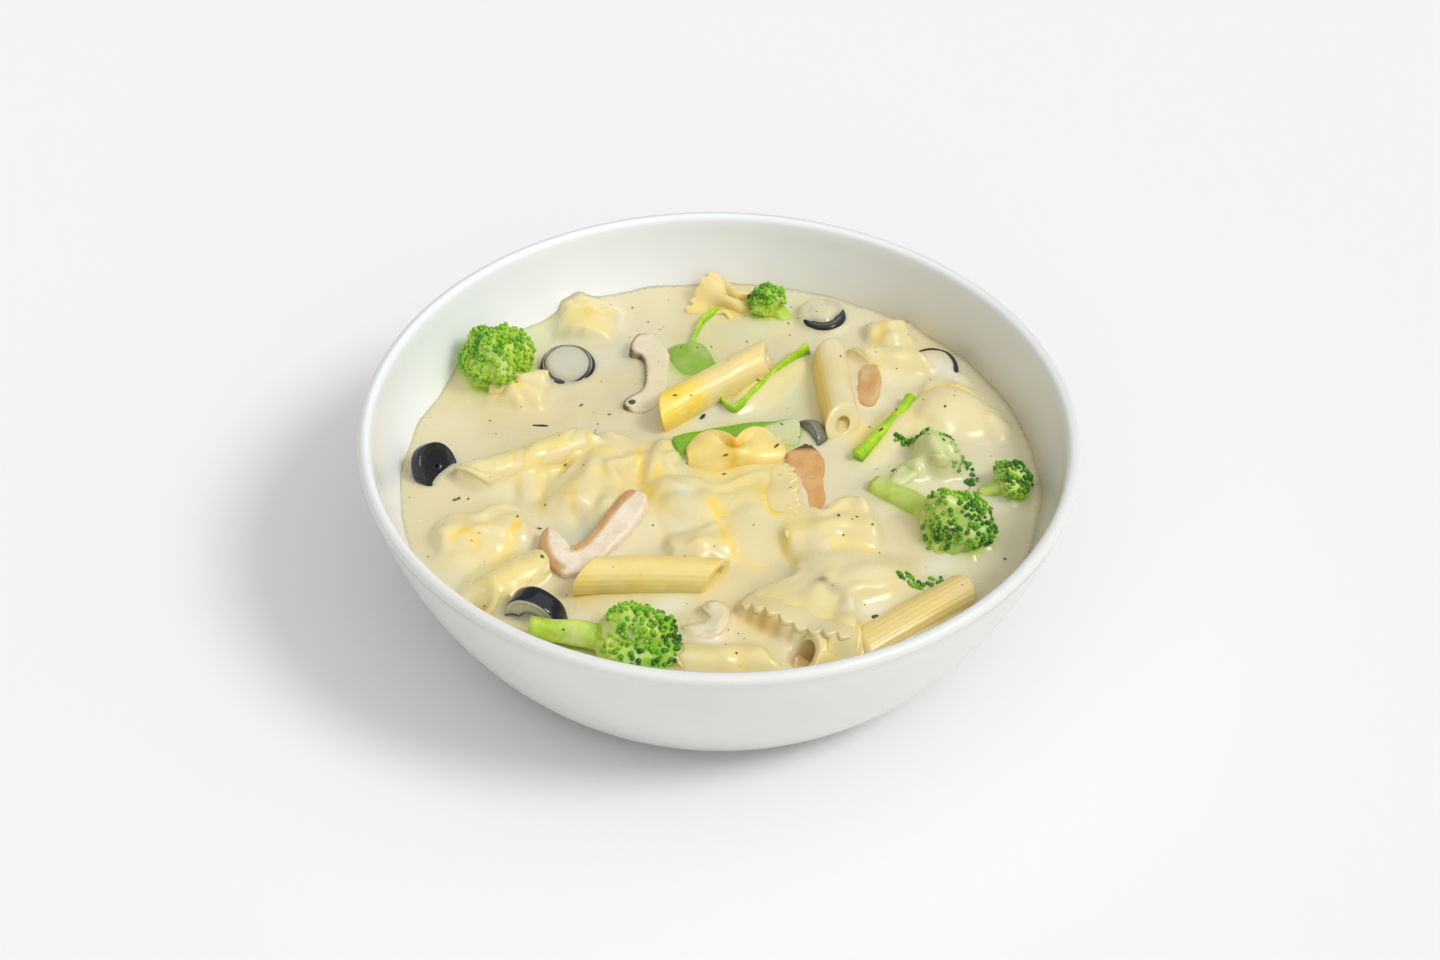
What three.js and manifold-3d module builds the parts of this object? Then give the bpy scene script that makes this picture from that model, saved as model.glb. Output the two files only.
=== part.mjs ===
// A deep round bowl of penne and farfalle in white sauce, with broccoli, black olive rings,
// mushroom slices and green pepper. Millimetres, +Z up, the foot of the bowl stands on Z = 0.
// X runs to the right and Y away from the side that is seen.
import * as THREE from 'three'
import { mergeVertices } from 'three/addons/utils/BufferGeometryUtils.js'
import Module from 'manifold-3d'

const wasm = await Module()
wasm.setup()

// Driving dimensions of the bowl
const RIM_RADIUS = 97.5
const BOWL_HEIGHT = 60
const BASE_RADIUS = 60.2
const LIP_RADIUS = 1.7
const LIP_PROUD = 0.5
const FOOT_OUTER = 48.5
const FOOT_INNER = 44.5
const FOOT_HEIGHT = 2.2
const FOOT_FLARE = 1.5
const FLOOR_TOP = 6.5
const FLOOR_RADIUS = 58
const FLOOR_EDGE_RADIUS = 55
const FLOOR_EDGE_RISE = 0.6
const INNER_RIM_RADIUS = 93.9
const ROUND_SEGMENTS = 48
const WALL_STEPS = 5

// The wall bellies out: fast at the base and nearly upright at the rim
const BELLY_RISE = 1.415
const BELLY_SPREAD = 1 / 1.534

// Driving dimensions of the sauce
const SAUCE_EDGE_LEVEL = 39
const SAUCE_RISE = 3.2
const SAUCE_LEAN_X = 0.009
const SAUCE_LEAN_Y = 0.0098
const SAUCE_RINGS = 6
const SWELL = { height: 0.5, lengthX: 11, lengthY: 13, shiftX: 0.6, shiftY: -0.4 }
const GAP = 0.3
const CUT_GAP = 0.35

// Driving dimensions of the food
const PENNE = { radius: 5.2, bore: 3.7, cut: 38, bend: 0.0012, segments: 10 }
const FARFALLE = {
  pinch: 0.36, flare: 2.2, pleat: 1.9, pleatWidth: 0.35, thickness: 1.7, teeth: 3, columns: 4,
}
const TOOTH = 1.3
const OLIVE = { radius: 7.4, hole: 2.9, thickness: 4.4, barrel: 0.8, segments: 12 }
const SLICE = { bevel: 0.7, outlinePoints: 12 }
const PEPPER = { cornerTrim: 0.1, columns: 5, rows: 3 }
const FLORET = { stemTaper: 1.25, stemSink: 0.3, stemSides: 7, lobeDepth: 0.09, lobes: 4 }

// A sheet runs from -1 to 1 each way, and its rim is what lies past this
const RIM_EDGE = 0.999
const ORIGIN = new THREE.Vector3()

// Colours of the food and the bowl
const COLOURS = {
  bowl: 0xf1f1ee,
  sauce: 0xe3d9b8,
  pasta: 0xebd693,
  broccoli: 0x4f8a2a,
  olive: 0x262a30,
  mushroom: 0xcaa183,
  pepper: 0x7fb43c,
}

// Each piece lies at [x, y, z]. Turn swings it round Z, tip raises its +X end,
// and roll spins it about its own X axis, all in degrees.
const pennePieces = {
  penne_top: { at: [-1.6, 32.6, 46.4], turn: 39, tip: 2, roll: -110, length: 38 },
  penne_upright: { at: [32.2, 33.0, 44.4], turn: -84, tip: 3, roll: 135, length: 32 },
  penne_front: { at: [-17.4, -43.8, 44.4], turn: 3, tip: -2, roll: -75, length: 35 },
  penne_left: { at: [-51.0, 3.4, 42.0], turn: 25, tip: 4, roll: 120, length: 36 },
  penne_rim: { at: [49.0, -56.2, 39.8], turn: 37, tip: 3, roll: 10, length: 36 },
  penne_low: { at: [2.0, -71.0, 38.6], turn: 3, tip: -2, roll: 120, length: 26 },
  penne_tucked: { at: [28.0, -66.7, 40.8], turn: 22, tip: 0, roll: 0, length: 12 },
  penne_lower_left: { at: [-55.1, -44.1, 40.0], turn: 40, tip: 0, roll: 0, length: 18 },
  penne_back_right: { at: [48.6, 49.0, 41.0], turn: 3, tip: 0, roll: 100, length: 18 },
}

const farfallePieces = {
  farfalle_heart: {
    at: [5.0, 2.4, 46.6], turn: 9, tip: 0, roll: 24, halfLength: 13.6, halfWidth: 9.2, pinch: 0.42,
    curl: [-3.0, -3.0], ruffle: 1.0, phase: 0.5, arch: -2.0,
  },
  farfalle_fan: {
    at: [0.5, -15.2, 45.0], turn: 2, tip: 3, roll: 15, halfLength: 21.5, halfWidth: 11.6, teeth: 5,
    curl: [-3.0, 1.6], ruffle: 0.8, phase: 1.6, arch: -1.5,
  },
  farfalle_front: {
    at: [28.4, -46.2, 43.6], turn: 61, tip: -4, roll: -4, halfLength: 19.5, halfWidth: 17, teeth: 6,
    curl: [0.6, -2.0], ruffle: 0.9, phase: 0.2, arch: -1.0,
  },
  farfalle_curl: {
    at: [29.6, -25.4, 45.6], turn: 14, tip: 2, roll: 14, halfLength: 12.4, halfWidth: 9.5,
    curl: [-1.0, 0.5], ruffle: 1.2, phase: 2.4, arch: -2.0,
  },
  farfalle_middle: {
    at: [-34.0, -1.5, 44.0], turn: 76, tip: -3, roll: -10, halfLength: 15.5, halfWidth: 11,
    curl: [-1.5, -1.0], ruffle: 1.4, phase: 0.9, arch: -2.5,
  },
  farfalle_crescent: {
    at: [-17.0, 3.2, 42.6], turn: 80, tip: 4, roll: -14, halfLength: 8.5, halfWidth: 7,
    curl: [-1.0, -1.0], ruffle: 1.2, phase: 2.0, arch: -1.0,
  },
  farfalle_small: {
    at: [-4.4, -31.2, 42.8], turn: 20, tip: 3, roll: 10, halfLength: 8, halfWidth: 6.5,
    curl: [-0.5, -0.5], ruffle: 1.0, phase: 1.2, arch: -1.0,
  },
  farfalle_back_left: {
    at: [-38.6, 68.2, 44.2], turn: 84, tip: -8, roll: 4, halfLength: 8.5, halfWidth: 8.2, pinch: 0.75,
    curl: [-2.0, -2.0], ruffle: 0.7, phase: 0.3, arch: -4.0,
  },
  farfalle_back: {
    at: [2.6, 74.0, 43.0], turn: -26, tip: -4, roll: 22, halfLength: 12, halfWidth: 8.6,
    curl: [0.0, -2.5], ruffle: 0.9, phase: 0.4, arch: -1.6,
  },
  farfalle_left: {
    at: [-57.4, 32.4, 44.2], turn: -12, tip: 0, roll: 24, halfLength: 7.8, halfWidth: 7.5,
    curl: [-1.5, -1.5], ruffle: 1.2, phase: 2.0, arch: -1.5,
  },
  farfalle_back_right: {
    at: [48.6, 58.6, 42.6], turn: 8, tip: 0, roll: 30, halfLength: 6.0, halfWidth: 6.8, pinch: 0.7,
    curl: [-1.5, -1.5], ruffle: 0.6, phase: 0.8, arch: -2.5,
  },
  farfalle_right: {
    at: [60.2, 25.4, 43.0], turn: 47, tip: 1, roll: 8, halfLength: 15.5, halfWidth: 11.5, teeth: 4,
    curl: [-1.6, -2.5], ruffle: 0.9, phase: 0.6, arch: -2.5,
  },
  farfalle_lower_left: {
    at: [-62.4, -26.8, 42.6], turn: 18, tip: 0, roll: 14, halfLength: 11.5, halfWidth: 9.5,
    curl: [-1.5, -1.5], ruffle: 1.2, phase: 1.4, arch: -2.0,
  },
  farfalle_edge: {
    at: [75.2, 24.6, 40.8], turn: 82, tip: 0, roll: 6, halfLength: 5, halfWidth: 4,
    curl: [-0.6, -0.6], ruffle: 0.6, phase: 0.9, arch: -0.8,
  },
}

// A floret is a stem along +X that ends in a crown of buds, squashed along the stem
const broccoliPieces = {
  broccoli_left: {
    at: [-63.8, 42.0, 45.0], turn: 120, tip: 62, roll: 0, crown: 10.6, squash: 1.05, stem: 6, stemRadius: 3.8,
  },
  broccoli_back: {
    at: [13.4, 72.2, 45.2], turn: 150, tip: 42, roll: 20, crown: 5.9, squash: 0.9, stem: 8, stemRadius: 2.4,
  },
  broccoli_right: {
    at: [62.6, -20.8, 43.8], turn: -39, tip: 4, roll: 30,
    crown: 10.2, squash: 1.15, stem: 20, stemRadius: 3.2,
  },
  broccoli_far_right: {
    at: [79.8, -3.2, 43.0], turn: 12, tip: 24, roll: 0, crown: 6.4, squash: 0.85, stem: 5, stemRadius: 2.4,
  },
  broccoli_front: {
    at: [-21.4, -67.4, 43.2], turn: -5, tip: -5, roll: 10, crown: 10.4, squash: 1.25, stem: 20.5, stemRadius: 2.8,
  },
  broccoli_middle: {
    at: [59.2, 6.6, 42.6], turn: 42, tip: 8, roll: 60, crown: 8.6, squash: 0.8, stem: 12, stemRadius: 3.2,
  },
}

const olivePieces = {
  olive_ring: { at: [-43.8, 45.2, 41.2], turn: 0, tip: 0, roll: 10, radius: 7.9 },
  olive_left: { at: [-78.2, 1.4, 41.2], turn: -24, tip: -52, roll: 8, radius: 6.9, hole: 1.2 },
  olive_back: { at: [29.3, 69.8, 41.6], turn: -68, tip: 0, roll: 0, radius: 6.9 },
  olive_right: { at: [60.6, 48.4, 39.6], turn: -28, tip: 0, roll: 16, radius: 7.6 },
  olive_front: { at: [-46.8, -56.2, 40.6], turn: -24, tip: 0, roll: 92, radius: 8.2, thickness: 6.4 },
  olive_shard: { at: [24.6, 15.2, 40.8], turn: -55, tip: 0, roll: 62, radius: 6.2 },
}

// Outlines of the mushroom slices: a cap with or without its stalk, as [x, y] round the edge
const capOutline = [
  [-6, -9], [-2, -11], [4, -9], [6, -2], [5, 6], [0, 10], [-5, 9], [-6, 5], [-2, 3], [-1, -4],
]
const forkOutline = [
  [-14, 3], [-13, -5], [-8, -11], [-1, -10], [5, -4], [13, 5], [17, 13], [13, 17], [7, 12], [0, 3],
  [-5, -1], [-8, 4], [-11, 7],
]
const stalkOutline = [[-4, -12], [1, -13], [5, -9], [5, 0], [5.5, 8], [1, 13], [-4.5, 9], [-5, 0]]
const seedOutline = [[-3.2, -8], [0, -9.4], [3.2, -7.6], [4.2, 0], [3, 7], [0, 8.6], [-3, 7], [-4, 0]]
const hookOutline = [[-7, -6], [-2, -8], [4, -6], [6, 1], [3, 7], [-3, 7], [-6, 3], [-1, 1], [-2, -2]]

const mushroomPieces = {
  mushroom_brown: {
    at: [-20.8, 40.8, 42.6], turn: -3, tip: -6, roll: 4,
    outline: capOutline, stretch: [1, 1.55], thickness: 4.4,
  },
  mushroom_fork: {
    at: [-33.6, -31.4, 43.4], turn: 8, tip: 4, roll: 6,
    outline: forkOutline, stretch: [0.98, 0.97], thickness: 4.2,
  },
  mushroom_tan: {
    at: [23.4, -4.6, 42.0], turn: 2, tip: 0, roll: 8,
    outline: stalkOutline, stretch: [1, 1], thickness: 6,
  },
  mushroom_small: {
    at: [42.2, 37.2, 42.4], turn: -6, tip: 12, roll: 4,
    outline: seedOutline, stretch: [1.15, 0.9], thickness: 5,
  },
  mushroom_front: {
    at: [-1.4, -58.4, 41.0], turn: -30, tip: 0, roll: 10,
    outline: hookOutline, stretch: [0.8, 0.85], thickness: 5,
  },
}

// Pepper strips stand on edge along a bent line of [x, y] points, and lean sideways
const stripPieces = {
  pepper_bent: {
    at: [13.5, 36.0, 42.0], path: [[12.2, 16.6], [4.6, 7.0], [-2.4, -3.4], [-8.8, -12.0], [-12.8, -7.2]],
    width: 2.0, height: 9, lean: -0.25,
  },
  pepper_right: {
    at: [46.0, 15.8, 41.8], path: [[8.4, 15.6], [5.6, 9.4], [-0.2, 0.6], [-7.6, -10.4]],
    width: 2.2, height: 8, lean: -0.3,
  },
  pepper_back: {
    at: [-5.1, 61.5, 40.9], path: [[4, 10.8], [-0.5, 5], [-2.6, -2], [-3.9, -10.4]],
    width: 1.8, height: 6, lean: 0,
  },
}

// Flat pepper pieces are wavy sheets: half sizes across, a sag along each way and a thickness
const flatPieces = {
  pepper_flat: {
    at: [5.6, 9.0, 44.6], turn: 13, tip: 1, roll: 18, halfLength: 17.2, halfWidth: 6.6, taper: 2.6,
    sagLong: -0.5, sagAcross: -0.8, thickness: 2,
  },
  pepper_flap: {
    at: [-11.8, 5.0, 42.0], turn: 70, tip: 20, roll: -30, halfLength: 6.4, halfWidth: 3.0,
    sagLong: -1.0, sagAcross: -0.6, thickness: 2,
  },
  pepper_leaf: {
    at: [-8.8, 44.6, 43.6], turn: 20, tip: 4, roll: 14, halfLength: 6.8, halfWidth: 8.8,
    sagLong: -2.4, sagAcross: -2.0, thickness: 2.4,
  },
}

// Turns a closed three.js geometry into a solid that can be joined and cut
function toSolid(geometry) {
  const bare = geometry.clone()
  bare.deleteAttribute('normal')
  bare.deleteAttribute('uv')
  const merged = mergeVertices(bare, 1e-4)
  const corners = merged.index.array
  const kept = []
  for (let i = 0; i < corners.length; i += 3) {
    const [a, b, c] = corners.slice(i, i + 3)
    if (a !== b && b !== c && c !== a) kept.push(a, b, c)
  }
  const solid = new wasm.Manifold(new wasm.Mesh({
    numProp: 3,
    vertProperties: Float32Array.from(merged.attributes.position.array),
    triVerts: Uint32Array.from(kept),
  }))
  if (solid.volume() > 0) return solid
  return new wasm.Manifold(new wasm.Mesh({
    numProp: 3,
    vertProperties: Float32Array.from(merged.attributes.position.array),
    triVerts: Uint32Array.from(kept).reverse(),
  }))
}

function toGeometry(solid) {
  const mesh = solid.getMesh()
  const geometry = new THREE.BufferGeometry()
  geometry.setAttribute('position', new THREE.BufferAttribute(mesh.vertProperties, 3))
  geometry.setIndex(new THREE.BufferAttribute(mesh.triVerts, 1))
  geometry.computeVertexNormals()
  return geometry
}

function largestBody(solid) {
  const bodies = solid.decompose()
  return bodies.reduce((best, body) => (body.volume() > best.volume() ? body : best))
}

// Moves every vertex of a geometry by a function of its own place
function displace(geometry, move) {
  const position = geometry.attributes.position
  const point = new THREE.Vector3()
  for (let i = 0; i < position.count; i += 1) {
    point.fromBufferAttribute(position, i)
    move(point, i)
    position.setXYZ(i, point.x, point.y, point.z)
  }
  return geometry
}

// A closed wavy sheet: both faces are the same grid, set apart along Z, with a rim between.
// Growing it carries the rim on past its own edge, and pushes the faces apart by twice as much,
// because the twisted cells along the rim bend a little as they grow.
function sheet(surface, thickness, columns, rows, grow) {
  const past = (point, inner) => {
    const step = point.clone().sub(inner)
    return step.multiplyScalar(grow / Math.hypot(step.x, step.y))
  }
  const grid = new THREE.PlaneGeometry(2, 2, columns, rows)
  const place = grid.attributes.position
  const count = place.count
  const points = new Float32Array(count * 6)
  const half = thickness / 2 + 2 * grow
  for (let i = 0; i < count; i += 1) {
    const u = place.getX(i)
    const v = place.getY(i)
    const point = surface(u, v)
    const inwardU = surface(u - (2 * Math.sign(u)) / columns, v)
    const inwardV = surface(u, v - (2 * Math.sign(v)) / rows)
    const { x, y, z } = point.clone()
      .add(Math.abs(u) > RIM_EDGE ? past(point, inwardU) : ORIGIN)
      .add(Math.abs(v) > RIM_EDGE ? past(point, inwardV) : ORIGIN)
    points.set([x, y, z + half], i * 3)
    points.set([x, y, z - half], (count + i) * 3)
  }
  const index = []
  const corners = grid.index.array
  for (let i = 0; i < corners.length; i += 3) {
    const [a, b, c] = corners.slice(i, i + 3)
    index.push(a, b, c, count + c, count + b, count + a)
  }
  const rim = []
  const across = columns + 1
  for (let i = 0; i < columns; i += 1) rim.push(i)
  for (let j = 0; j < rows; j += 1) rim.push(j * across + columns)
  for (let i = columns; i > 0; i -= 1) rim.push(rows * across + i)
  for (let j = rows; j > 0; j -= 1) rim.push(j * across)
  rim.forEach((a, i) => {
    const b = rim[(i + 1) % rim.length]
    index.push(a, b, count + a, b, count + b, count + a)
  })
  const geometry = new THREE.BufferGeometry()
  geometry.setAttribute('position', new THREE.BufferAttribute(points, 3))
  geometry.setIndex(index)
  return geometry
}

// How far the wall has swung out at a fraction of its height
function belly(fraction) {
  const clamped = Math.min(Math.max(fraction, 0), 1)
  return (1 - (1 - clamped) ** BELLY_RISE) ** BELLY_SPREAD
}

function outerRadius(z) {
  return BASE_RADIUS + (RIM_RADIUS - BASE_RADIUS) * belly(z / BOWL_HEIGHT)
}

function innerRadius(z) {
  const fraction = (z - FLOOR_TOP) / (BOWL_HEIGHT - FLOOR_TOP)
  return FLOOR_RADIUS + (INNER_RIM_RADIUS - FLOOR_RADIUS) * belly(fraction)
}

// Heights along a wall, closer together at the base where it curves most
function wallHeights(bottom, top) {
  const crowding = 1.5
  return Array.from({ length: WALL_STEPS + 1 }, (_, i) => (
    bottom + (top - bottom) * (i / WALL_STEPS) ** crowding
  ))
}

function lathe(profile) {
  const points = profile.map(([radius, z]) => new THREE.Vector2(radius, z))
  return new THREE.LatheGeometry(points, ROUND_SEGMENTS).rotateX(Math.PI / 2)
}

function bowlGeometry() {
  const lipBottom = BOWL_HEIGHT - 2 * LIP_RADIUS
  const outside = wallHeights(2 * FOOT_HEIGHT, lipBottom).map((z) => [outerRadius(z) - LIP_PROUD, z])
  const inside = wallHeights(FLOOR_TOP + FLOOR_EDGE_RISE, BOWL_HEIGHT - LIP_RADIUS)
  const profile = [
    [0, 1.4 * FOOT_HEIGHT],
    [FOOT_INNER - FOOT_FLARE, FOOT_HEIGHT],
    [FOOT_INNER, 0],
    [FOOT_OUTER, 0],
    [FOOT_OUTER + FOOT_FLARE, FOOT_HEIGHT],
    [BASE_RADIUS, 1.1 * FOOT_HEIGHT],
    ...outside,
    [RIM_RADIUS, BOWL_HEIGHT - LIP_RADIUS],
    [RIM_RADIUS - 0.3 * LIP_RADIUS, BOWL_HEIGHT - 0.3 * LIP_RADIUS],
    [RIM_RADIUS - LIP_RADIUS, BOWL_HEIGHT],
    [INNER_RIM_RADIUS + 0.4 * LIP_RADIUS, BOWL_HEIGHT - 0.25 * LIP_RADIUS],
    ...inside.reverse().map((z) => [innerRadius(z), z]),
    [FLOOR_EDGE_RADIUS, FLOOR_TOP],
    [0, FLOOR_TOP],
  ]
  return lathe(profile)
}

// The free space of the bowl, held back from the wall by a gap, that all food stays inside
function cavityGeometry() {
  const wall = wallHeights(FLOOR_TOP + FLOOR_EDGE_RISE, BOWL_HEIGHT).map((z) => [innerRadius(z) - CUT_GAP, z])
  return lathe([[0, FLOOR_TOP + GAP], [FLOOR_EDGE_RADIUS, FLOOR_TOP + GAP], ...wall, [0, BOWL_HEIGHT]])
}

// The top of the sauce: highest in the middle, with soft swells, a little higher at the back right
function sauceLevel(x, y) {
  const fraction = Math.hypot(x, y) / innerRadius(SAUCE_EDGE_LEVEL)
  const dome = SAUCE_RISE * (1 - fraction ** 2)
  const wave = Math.sin(x / SWELL.lengthX + SWELL.shiftX) * Math.cos(y / SWELL.lengthY + SWELL.shiftY)
  const swell = SWELL.height * wave * (1 - fraction ** 4)
  return SAUCE_EDGE_LEVEL + dome + swell + SAUCE_LEAN_X * x + SAUCE_LEAN_Y * y
}

function sauceGeometry() {
  const wallTop = SAUCE_EDGE_LEVEL - SAUCE_RISE
  const wall = wallHeights(FLOOR_TOP + FLOOR_EDGE_RISE, BOWL_HEIGHT).filter((z) => z < wallTop)
  const side = wall.map((z) => [innerRadius(z) - GAP, z])
  const top = []
  for (let ring = SAUCE_RINGS; ring >= 0; ring -= 1) {
    top.push([(innerRadius(SAUCE_EDGE_LEVEL) * ring) / SAUCE_RINGS, SAUCE_EDGE_LEVEL])
  }
  const profile = [[0, FLOOR_TOP + GAP], [FLOOR_EDGE_RADIUS, FLOOR_TOP + GAP], ...side, ...top]
  const topStart = profile.length - top.length
  return displace(lathe(profile), (point, i) => {
    const step = i % profile.length
    if (step < topStart) return
    point.z = sauceLevel(point.x, point.y)
    if (step > topStart) return
    const radius = innerRadius(point.z) - GAP
    const angle = Math.atan2(point.y, point.x)
    point.x = radius * Math.cos(angle)
    point.y = radius * Math.sin(angle)
  })
}

// A short tube cut on the slant at both ends. A grown copy is bigger all round and has no bore.
function penneGeometry(piece, grow) {
  const radius = PENNE.radius + grow
  const half = piece.length / 2 + grow
  const outside = [-half, 0, half].map((along) => new THREE.Vector2(radius, along))
  const bore = [half, -half].map((along) => new THREE.Vector2(PENNE.bore, along))
  const core = [new THREE.Vector2(0, half)]
  const start = [new THREE.Vector2(0, -half)]
  const profile = grow > 0 ? [...start, ...outside, ...core] : [...outside, ...bore, outside[0]]
  const tube = new THREE.LatheGeometry(profile, PENNE.segments).rotateZ(-Math.PI / 2)
  const slant = Math.tan(THREE.MathUtils.degToRad(PENNE.cut))
  return displace(tube, (point) => {
    point.x += slant * point.z
    point.z -= PENNE.bend * point.x ** 2
  })
}

// A pasta bow: pinched in the middle, with ruffled wings and toothed ends
function farfalleGeometry(piece, grow) {
  const shape = { ...FARFALLE, ...piece }
  const rows = shape.teeth * 2
  const surface = (u, v) => {
    const wing = Math.abs(u)
    const spread = 1 - (1 - wing) ** shape.flare
    const halfWidth = shape.halfWidth * (shape.pinch + (1 - shape.pinch) * spread)
    const pleat = shape.pleat * Math.exp(-((u / shape.pleatWidth) ** 2)) * Math.cos(2 * Math.PI * v)
    const ruffle = shape.ruffle * wing * Math.sin(1.5 * Math.PI * v + shape.phase + u)
    const curl = shape.curl[u > 0 ? 1 : 0] * wing ** 2
    const arch = shape.arch * v * v * spread
    const tooth = wing > RIM_EDGE && Math.round(((v + 1) * rows) / 2) % 2 === 1 ? TOOTH : 0
    const along = shape.halfLength * u - Math.sign(u) * tooth
    return new THREE.Vector3(along, halfWidth * v, pleat + ruffle + curl + arch)
  }
  return sheet(surface, shape.thickness, shape.columns, rows, grow)
}

// A flat cut of pepper with rounded corners that sags along and across
function flatGeometry(piece, grow) {
  const surface = (u, v) => {
    const trim = 1 - PEPPER.cornerTrim * v * v * u * u
    const sag = piece.sagLong * u * u + piece.sagAcross * v * v
    const halfLength = piece.halfLength + (piece.taper ?? 0) * v
    return new THREE.Vector3(halfLength * u * trim, piece.halfWidth * v * trim, sag)
  }
  return sheet(surface, piece.thickness, PEPPER.columns, PEPPER.rows, grow)
}

// A strip of pepper standing on edge: a wall along each stretch of its bent line, a post at each bend
function stripSolid(piece, grow) {
  const height = piece.height + 2 * grow
  const half = piece.width / 2 + grow
  const leaning = (geometry) => toSolid(displace(geometry, (point) => {
    point.x += piece.lean * point.z
  }))
  const walls = piece.path.slice(1).map(([x, y], i) => {
    const [startX, startY] = piece.path[i]
    const wall = new THREE.BoxGeometry(Math.hypot(x - startX, y - startY), 2 * half, height)
    wall.rotateZ(Math.atan2(y - startY, x - startX))
    return leaning(wall.translate((x + startX) / 2, (y + startY) / 2, 0))
  })
  const posts = piece.path.map(([x, y]) => {
    const post = new THREE.CylinderGeometry(half, half, height, 6).rotateX(Math.PI / 2)
    return leaning(post.translate(x, y, 0))
  })
  return [...walls, ...posts].reduce((whole, part) => whole.add(part))
}

// A ring of olive with rounded edges, its hole along Z. A grown copy has no hole.
function oliveGeometry(piece, grow) {
  const shape = { ...OLIVE, ...piece }
  const radius = shape.radius + grow
  const half = shape.thickness / 2 + grow
  const rim = [[radius - shape.barrel, -half], [radius, 0], [radius - shape.barrel, half]]
  const hole = [[shape.hole, half], [shape.hole, -half]]
  const profile = grow > 0 ? [[0, -half], ...rim, [0, half]] : [...rim, ...hole, rim[0]]
  const points = profile.map(([r, z]) => new THREE.Vector2(r, z))
  return new THREE.LatheGeometry(points, shape.segments).rotateX(Math.PI / 2)
}

// A slice of mushroom: a smooth outline with softened edges
function mushroomGeometry(piece, grow) {
  const [stretchX, stretchY] = piece.stretch
  const corners = piece.outline.map(([x, y]) => new THREE.Vector3(x * stretchX, y * stretchY, 0))
  const curve = new THREE.CatmullRomCurve3(corners, true, 'centripetal')
  const outline = curve.getPoints(SLICE.outlinePoints).slice(0, -1)
  const bevel = SLICE.bevel + grow
  const depth = piece.thickness - 2 * SLICE.bevel
  const slice = new THREE.ExtrudeGeometry(new THREE.Shape(outline.map((p) => new THREE.Vector2(p.x, p.y))), {
    depth, steps: 1, bevelEnabled: true, bevelSegments: 1, bevelThickness: bevel, bevelSize: bevel,
    bevelOffset: -SLICE.bevel,
  })
  return slice.translate(0, 0, -depth / 2)
}

// A floret: a tapered stem that ends in a crown with soft lobes round its axis
function broccoliSolid(piece, grow) {
  const stemHalf = piece.stem / 2 + piece.crown * FLORET.stemSink
  const stemTop = piece.stemRadius * FLORET.stemTaper + grow
  const stem = new THREE.CylinderGeometry(
    stemTop, piece.stemRadius + grow, 2 * stemHalf + 2 * grow, FLORET.stemSides,
  ).rotateZ(-Math.PI / 2)
  const crown = displace(new THREE.IcosahedronGeometry(1, 1), (point) => {
    const angle = Math.atan2(point.z, point.y)
    const lobe = 1 + FLORET.lobeDepth * Math.cos(FLORET.lobes * angle + 1) * (1 - point.x * point.x)
    point.multiplyScalar(piece.crown * lobe)
    point.x *= piece.squash
    point.setLength(point.length() + grow)
  })
  return toSolid(stem.translate(-stemHalf, 0, 0)).add(toSolid(crown))
}

const makers = {
  pasta: (piece, grow) => toSolid(piece.curl ? farfalleGeometry(piece, grow) : penneGeometry(piece, grow)),
  broccoli: broccoliSolid,
  olive: (piece, grow) => toSolid(oliveGeometry(piece, grow)),
  mushroom: (piece, grow) => toSolid(mushroomGeometry(piece, grow)),
  pepper: (piece, grow) => (piece.path ? stripSolid(piece, grow) : toSolid(flatGeometry(piece, grow))),
}

const materialFinish = {
  pasta: { roughness: 0.45, metalness: 0 },
  broccoli: { roughness: 0.6, metalness: 0 },
  olive: { roughness: 0.25, metalness: 0 },
  mushroom: { roughness: 0.5, metalness: 0 },
  pepper: { roughness: 0.3, metalness: 0 },
}

// Pieces on top come first and stay whole. What lies lower is cut back from those before it.
const layers = [
  ['pasta', ['penne_top', 'penne_upright']],
  ['pasta', ['farfalle_heart']],
  ['pepper', ['pepper_flat', 'pepper_bent', 'pepper_flap', 'pepper_right', 'pepper_back', 'pepper_leaf']],
  ['pasta', ['farfalle_front', 'farfalle_fan', 'farfalle_curl']],
  ['mushroom', ['mushroom_fork', 'mushroom_brown']],
  ['broccoli', Object.keys(broccoliPieces)],
  ['olive', ['olive_ring', 'olive_left', 'olive_back', 'olive_right', 'olive_front']],
  ['pasta', ['penne_front', 'farfalle_middle', 'penne_left', 'farfalle_right']],
  ['mushroom', ['mushroom_tan', 'mushroom_small', 'mushroom_front']],
  ['olive', ['olive_shard']],
  ['pasta', Object.keys(farfallePieces)],
  ['pasta', Object.keys(pennePieces)],
]

const allPieces = {
  ...pennePieces, ...farfallePieces, ...broccoliPieces, ...olivePieces, ...mushroomPieces,
  ...stripPieces, ...flatPieces,
}

function makeMesh(name, geometry, look) {
  const mesh = new THREE.Mesh(geometry, new THREE.MeshStandardMaterial(look))
  mesh.name = name
  return mesh
}

// Sets a mesh at a piece's place, tipped and rolled as the piece is
function setPlace(mesh, piece) {
  const { turn = 0, tip = 0, roll = 0 } = piece
  const radians = [roll, -tip, turn].map(THREE.MathUtils.degToRad)
  mesh.position.set(...piece.at)
  mesh.rotation.set(...radians, 'ZYX')
  mesh.updateMatrix()
}

const food = new THREE.Group()
const cavity = toSolid(cavityGeometry())
const cutters = []

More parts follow.
